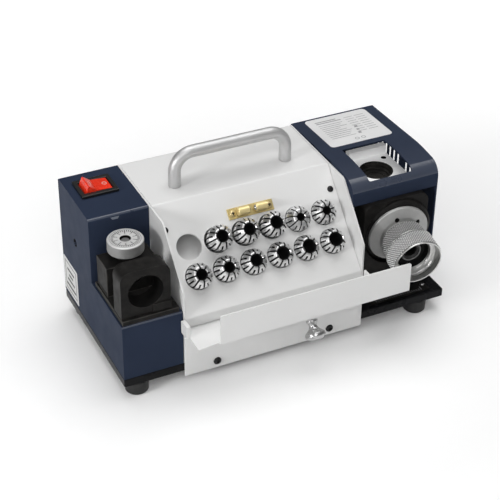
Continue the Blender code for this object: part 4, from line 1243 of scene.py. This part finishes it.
def build_inlet():
    plate = prism(rectangle(11, 37.5, 45, 65.5, 2.0), DEPTH + GAP, DEPTH + 2.6, "xz")
    inlet = new_piece("inlet_frame", plate, BLACK_PLASTIC)
    join(inlet, block((15, DEPTH - 18, 42), (41, DEPTH + 1.5, 61)))
    well = rounded(((16.2, 43.4), (39.8, 43.4), (39.8, 55.0), (35.5, 59.6), (20.5, 59.6), (16.2, 55.0)),
                   (0.8,) * 6, 4)
    carve(inlet, prism(well, DEPTH - 16, DEPTH + 9, "xz"))
    soften(inlet, 0.4, 2)
    register(inlet, "machine", "black_plastic", "power_inlet")
    pins = []
    for x, z in ((21.0, 49.0), (28.0, 53.0), (35.0, 49.0)):
        outline = rectangle(x - 1.0, z - 2.0, x + 1.0, z + 2.0, 0.4, 3)
        pins.append(prism(outline, DEPTH - 17, DEPTH - 4, "xz"))
    add_crisp("inlet_pins", several(pins), SCREW_BRIGHT, ("machine", "polished_steel"))


def dress_hidden_parts():
    """Materials for the drive inside, whose solids stay as they are."""
    finishes = {
        "motor_case": ENAMEL, "motor_cradle": ENAMEL, "motor_stator": LAMINATION,
        "motor_rotor": LAMINATION, "motor_shaft": STEEL, "rear_bearing": SCREW_BRIGHT,
        "front_bearing": SCREW_BRIGHT, "grinding_wheel": ABRASIVE, "wheel_flange": STEEL,
        "wheel_nut": STEEL, "wheel_guard": BLACK_GLOSS,
    }
    for node, material in finishes.items():
        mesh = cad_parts[node].data
        mesh.materials.clear()
        mesh.materials.append(material)


# ---------------------------------------------------------------- stage

def build_stage():
    floor = place_object("floor", lathe_mesh(((0, 0), (4000, 0), (4000, -20), (0, -20)), 96, closed=False))
    floor.data.materials.append(FLOOR)
    world = bpy.data.worlds.new("studio")
    bpy.context.scene.world = world
    world.use_nodes = True
    tree = world.node_tree
    background = tree.nodes["Background"]
    place = add_node(tree, "ShaderNodeTexCoord")
    toward = add_node(tree, "ShaderNodeVectorMath", operation="DOT_PRODUCT")
    toward.inputs[1].default_value = Vector((0.45, -0.35, 0.82)).normalized()
    ramp = add_node(tree, "ShaderNodeValToRGB")
    ramp.color_ramp.elements[0].position = 0.0
    ramp.color_ramp.elements[0].color = (0.03, 0.03, 0.03, 1)
    ramp.color_ramp.elements[1].position = 0.80
    ramp.color_ramp.elements[1].color = (1, 1, 1, 1)
    tree.links.new(place.outputs["Generated"], toward.inputs[0])
    tree.links.new(toward.outputs["Value"], ramp.inputs["Fac"])
    tree.links.new(ramp.outputs["Color"], background.inputs["Color"])
    background.inputs["Strength"].default_value = 0.20
    target = at(160, 60, 70)
    lamps = (("key", (-0.7, -1.5, 1.7), 1.4, 14.0), ("top", (0.2, 0.3, 1.9), 1.8, 25.0),
             ("left", (-1.9, -0.5, 0.75), 0.5, 19.0))
    for name, spot, size, power in lamps:
        light = bpy.data.lights.new(name, "AREA")
        light.shape = "DISK"
        light.size = size
        light.energy = power
        lamp = place_object(name, light, Vector(spot))
        lamp.rotation_euler = facing(lamp.location - target).to_euler()
    bpy.context.scene.view_settings.view_transform = "Standard"


def build_camera():
    """The camera looks from the left front, a little over thirty degrees down."""
    azimuth, elevation, roll = (math.radians(angle) for angle in (-26.13, 34.57, 0.81))
    back = Vector((math.sin(azimuth) * math.cos(elevation), -math.cos(azimuth) * math.cos(elevation),
                   math.sin(elevation)))
    right = Vector((math.cos(azimuth), math.sin(azimuth), 0))
    up = back.cross(right)
    rolled_right = math.cos(roll) * right + math.sin(roll) * up
    rolled_up = math.cos(roll) * up - math.sin(roll) * right
    camera = bpy.data.cameras.new("camera")
    camera.sensor_width = 36.0
    camera.lens = 104.64
    camera.clip_end = 20.0
    holder = place_object("camera", camera)
    pose = Matrix((rolled_right, rolled_up, back)).transposed().to_4x4()
    pose.translation = Vector((-0.4883, -0.96438, 0.8230))
    holder.matrix_world = pose
    bpy.context.scene.camera = holder


for build in (build_base, build_left_housing, build_right_housing, build_cover, build_rack, build_collets,
              build_catch, build_drawer, build_handle, build_switch, build_gauge, build_port, build_scale,
              build_thinning_port, build_labels, build_screws, build_inlet, dress_hidden_parts,
              build_stage, build_camera):
    build()
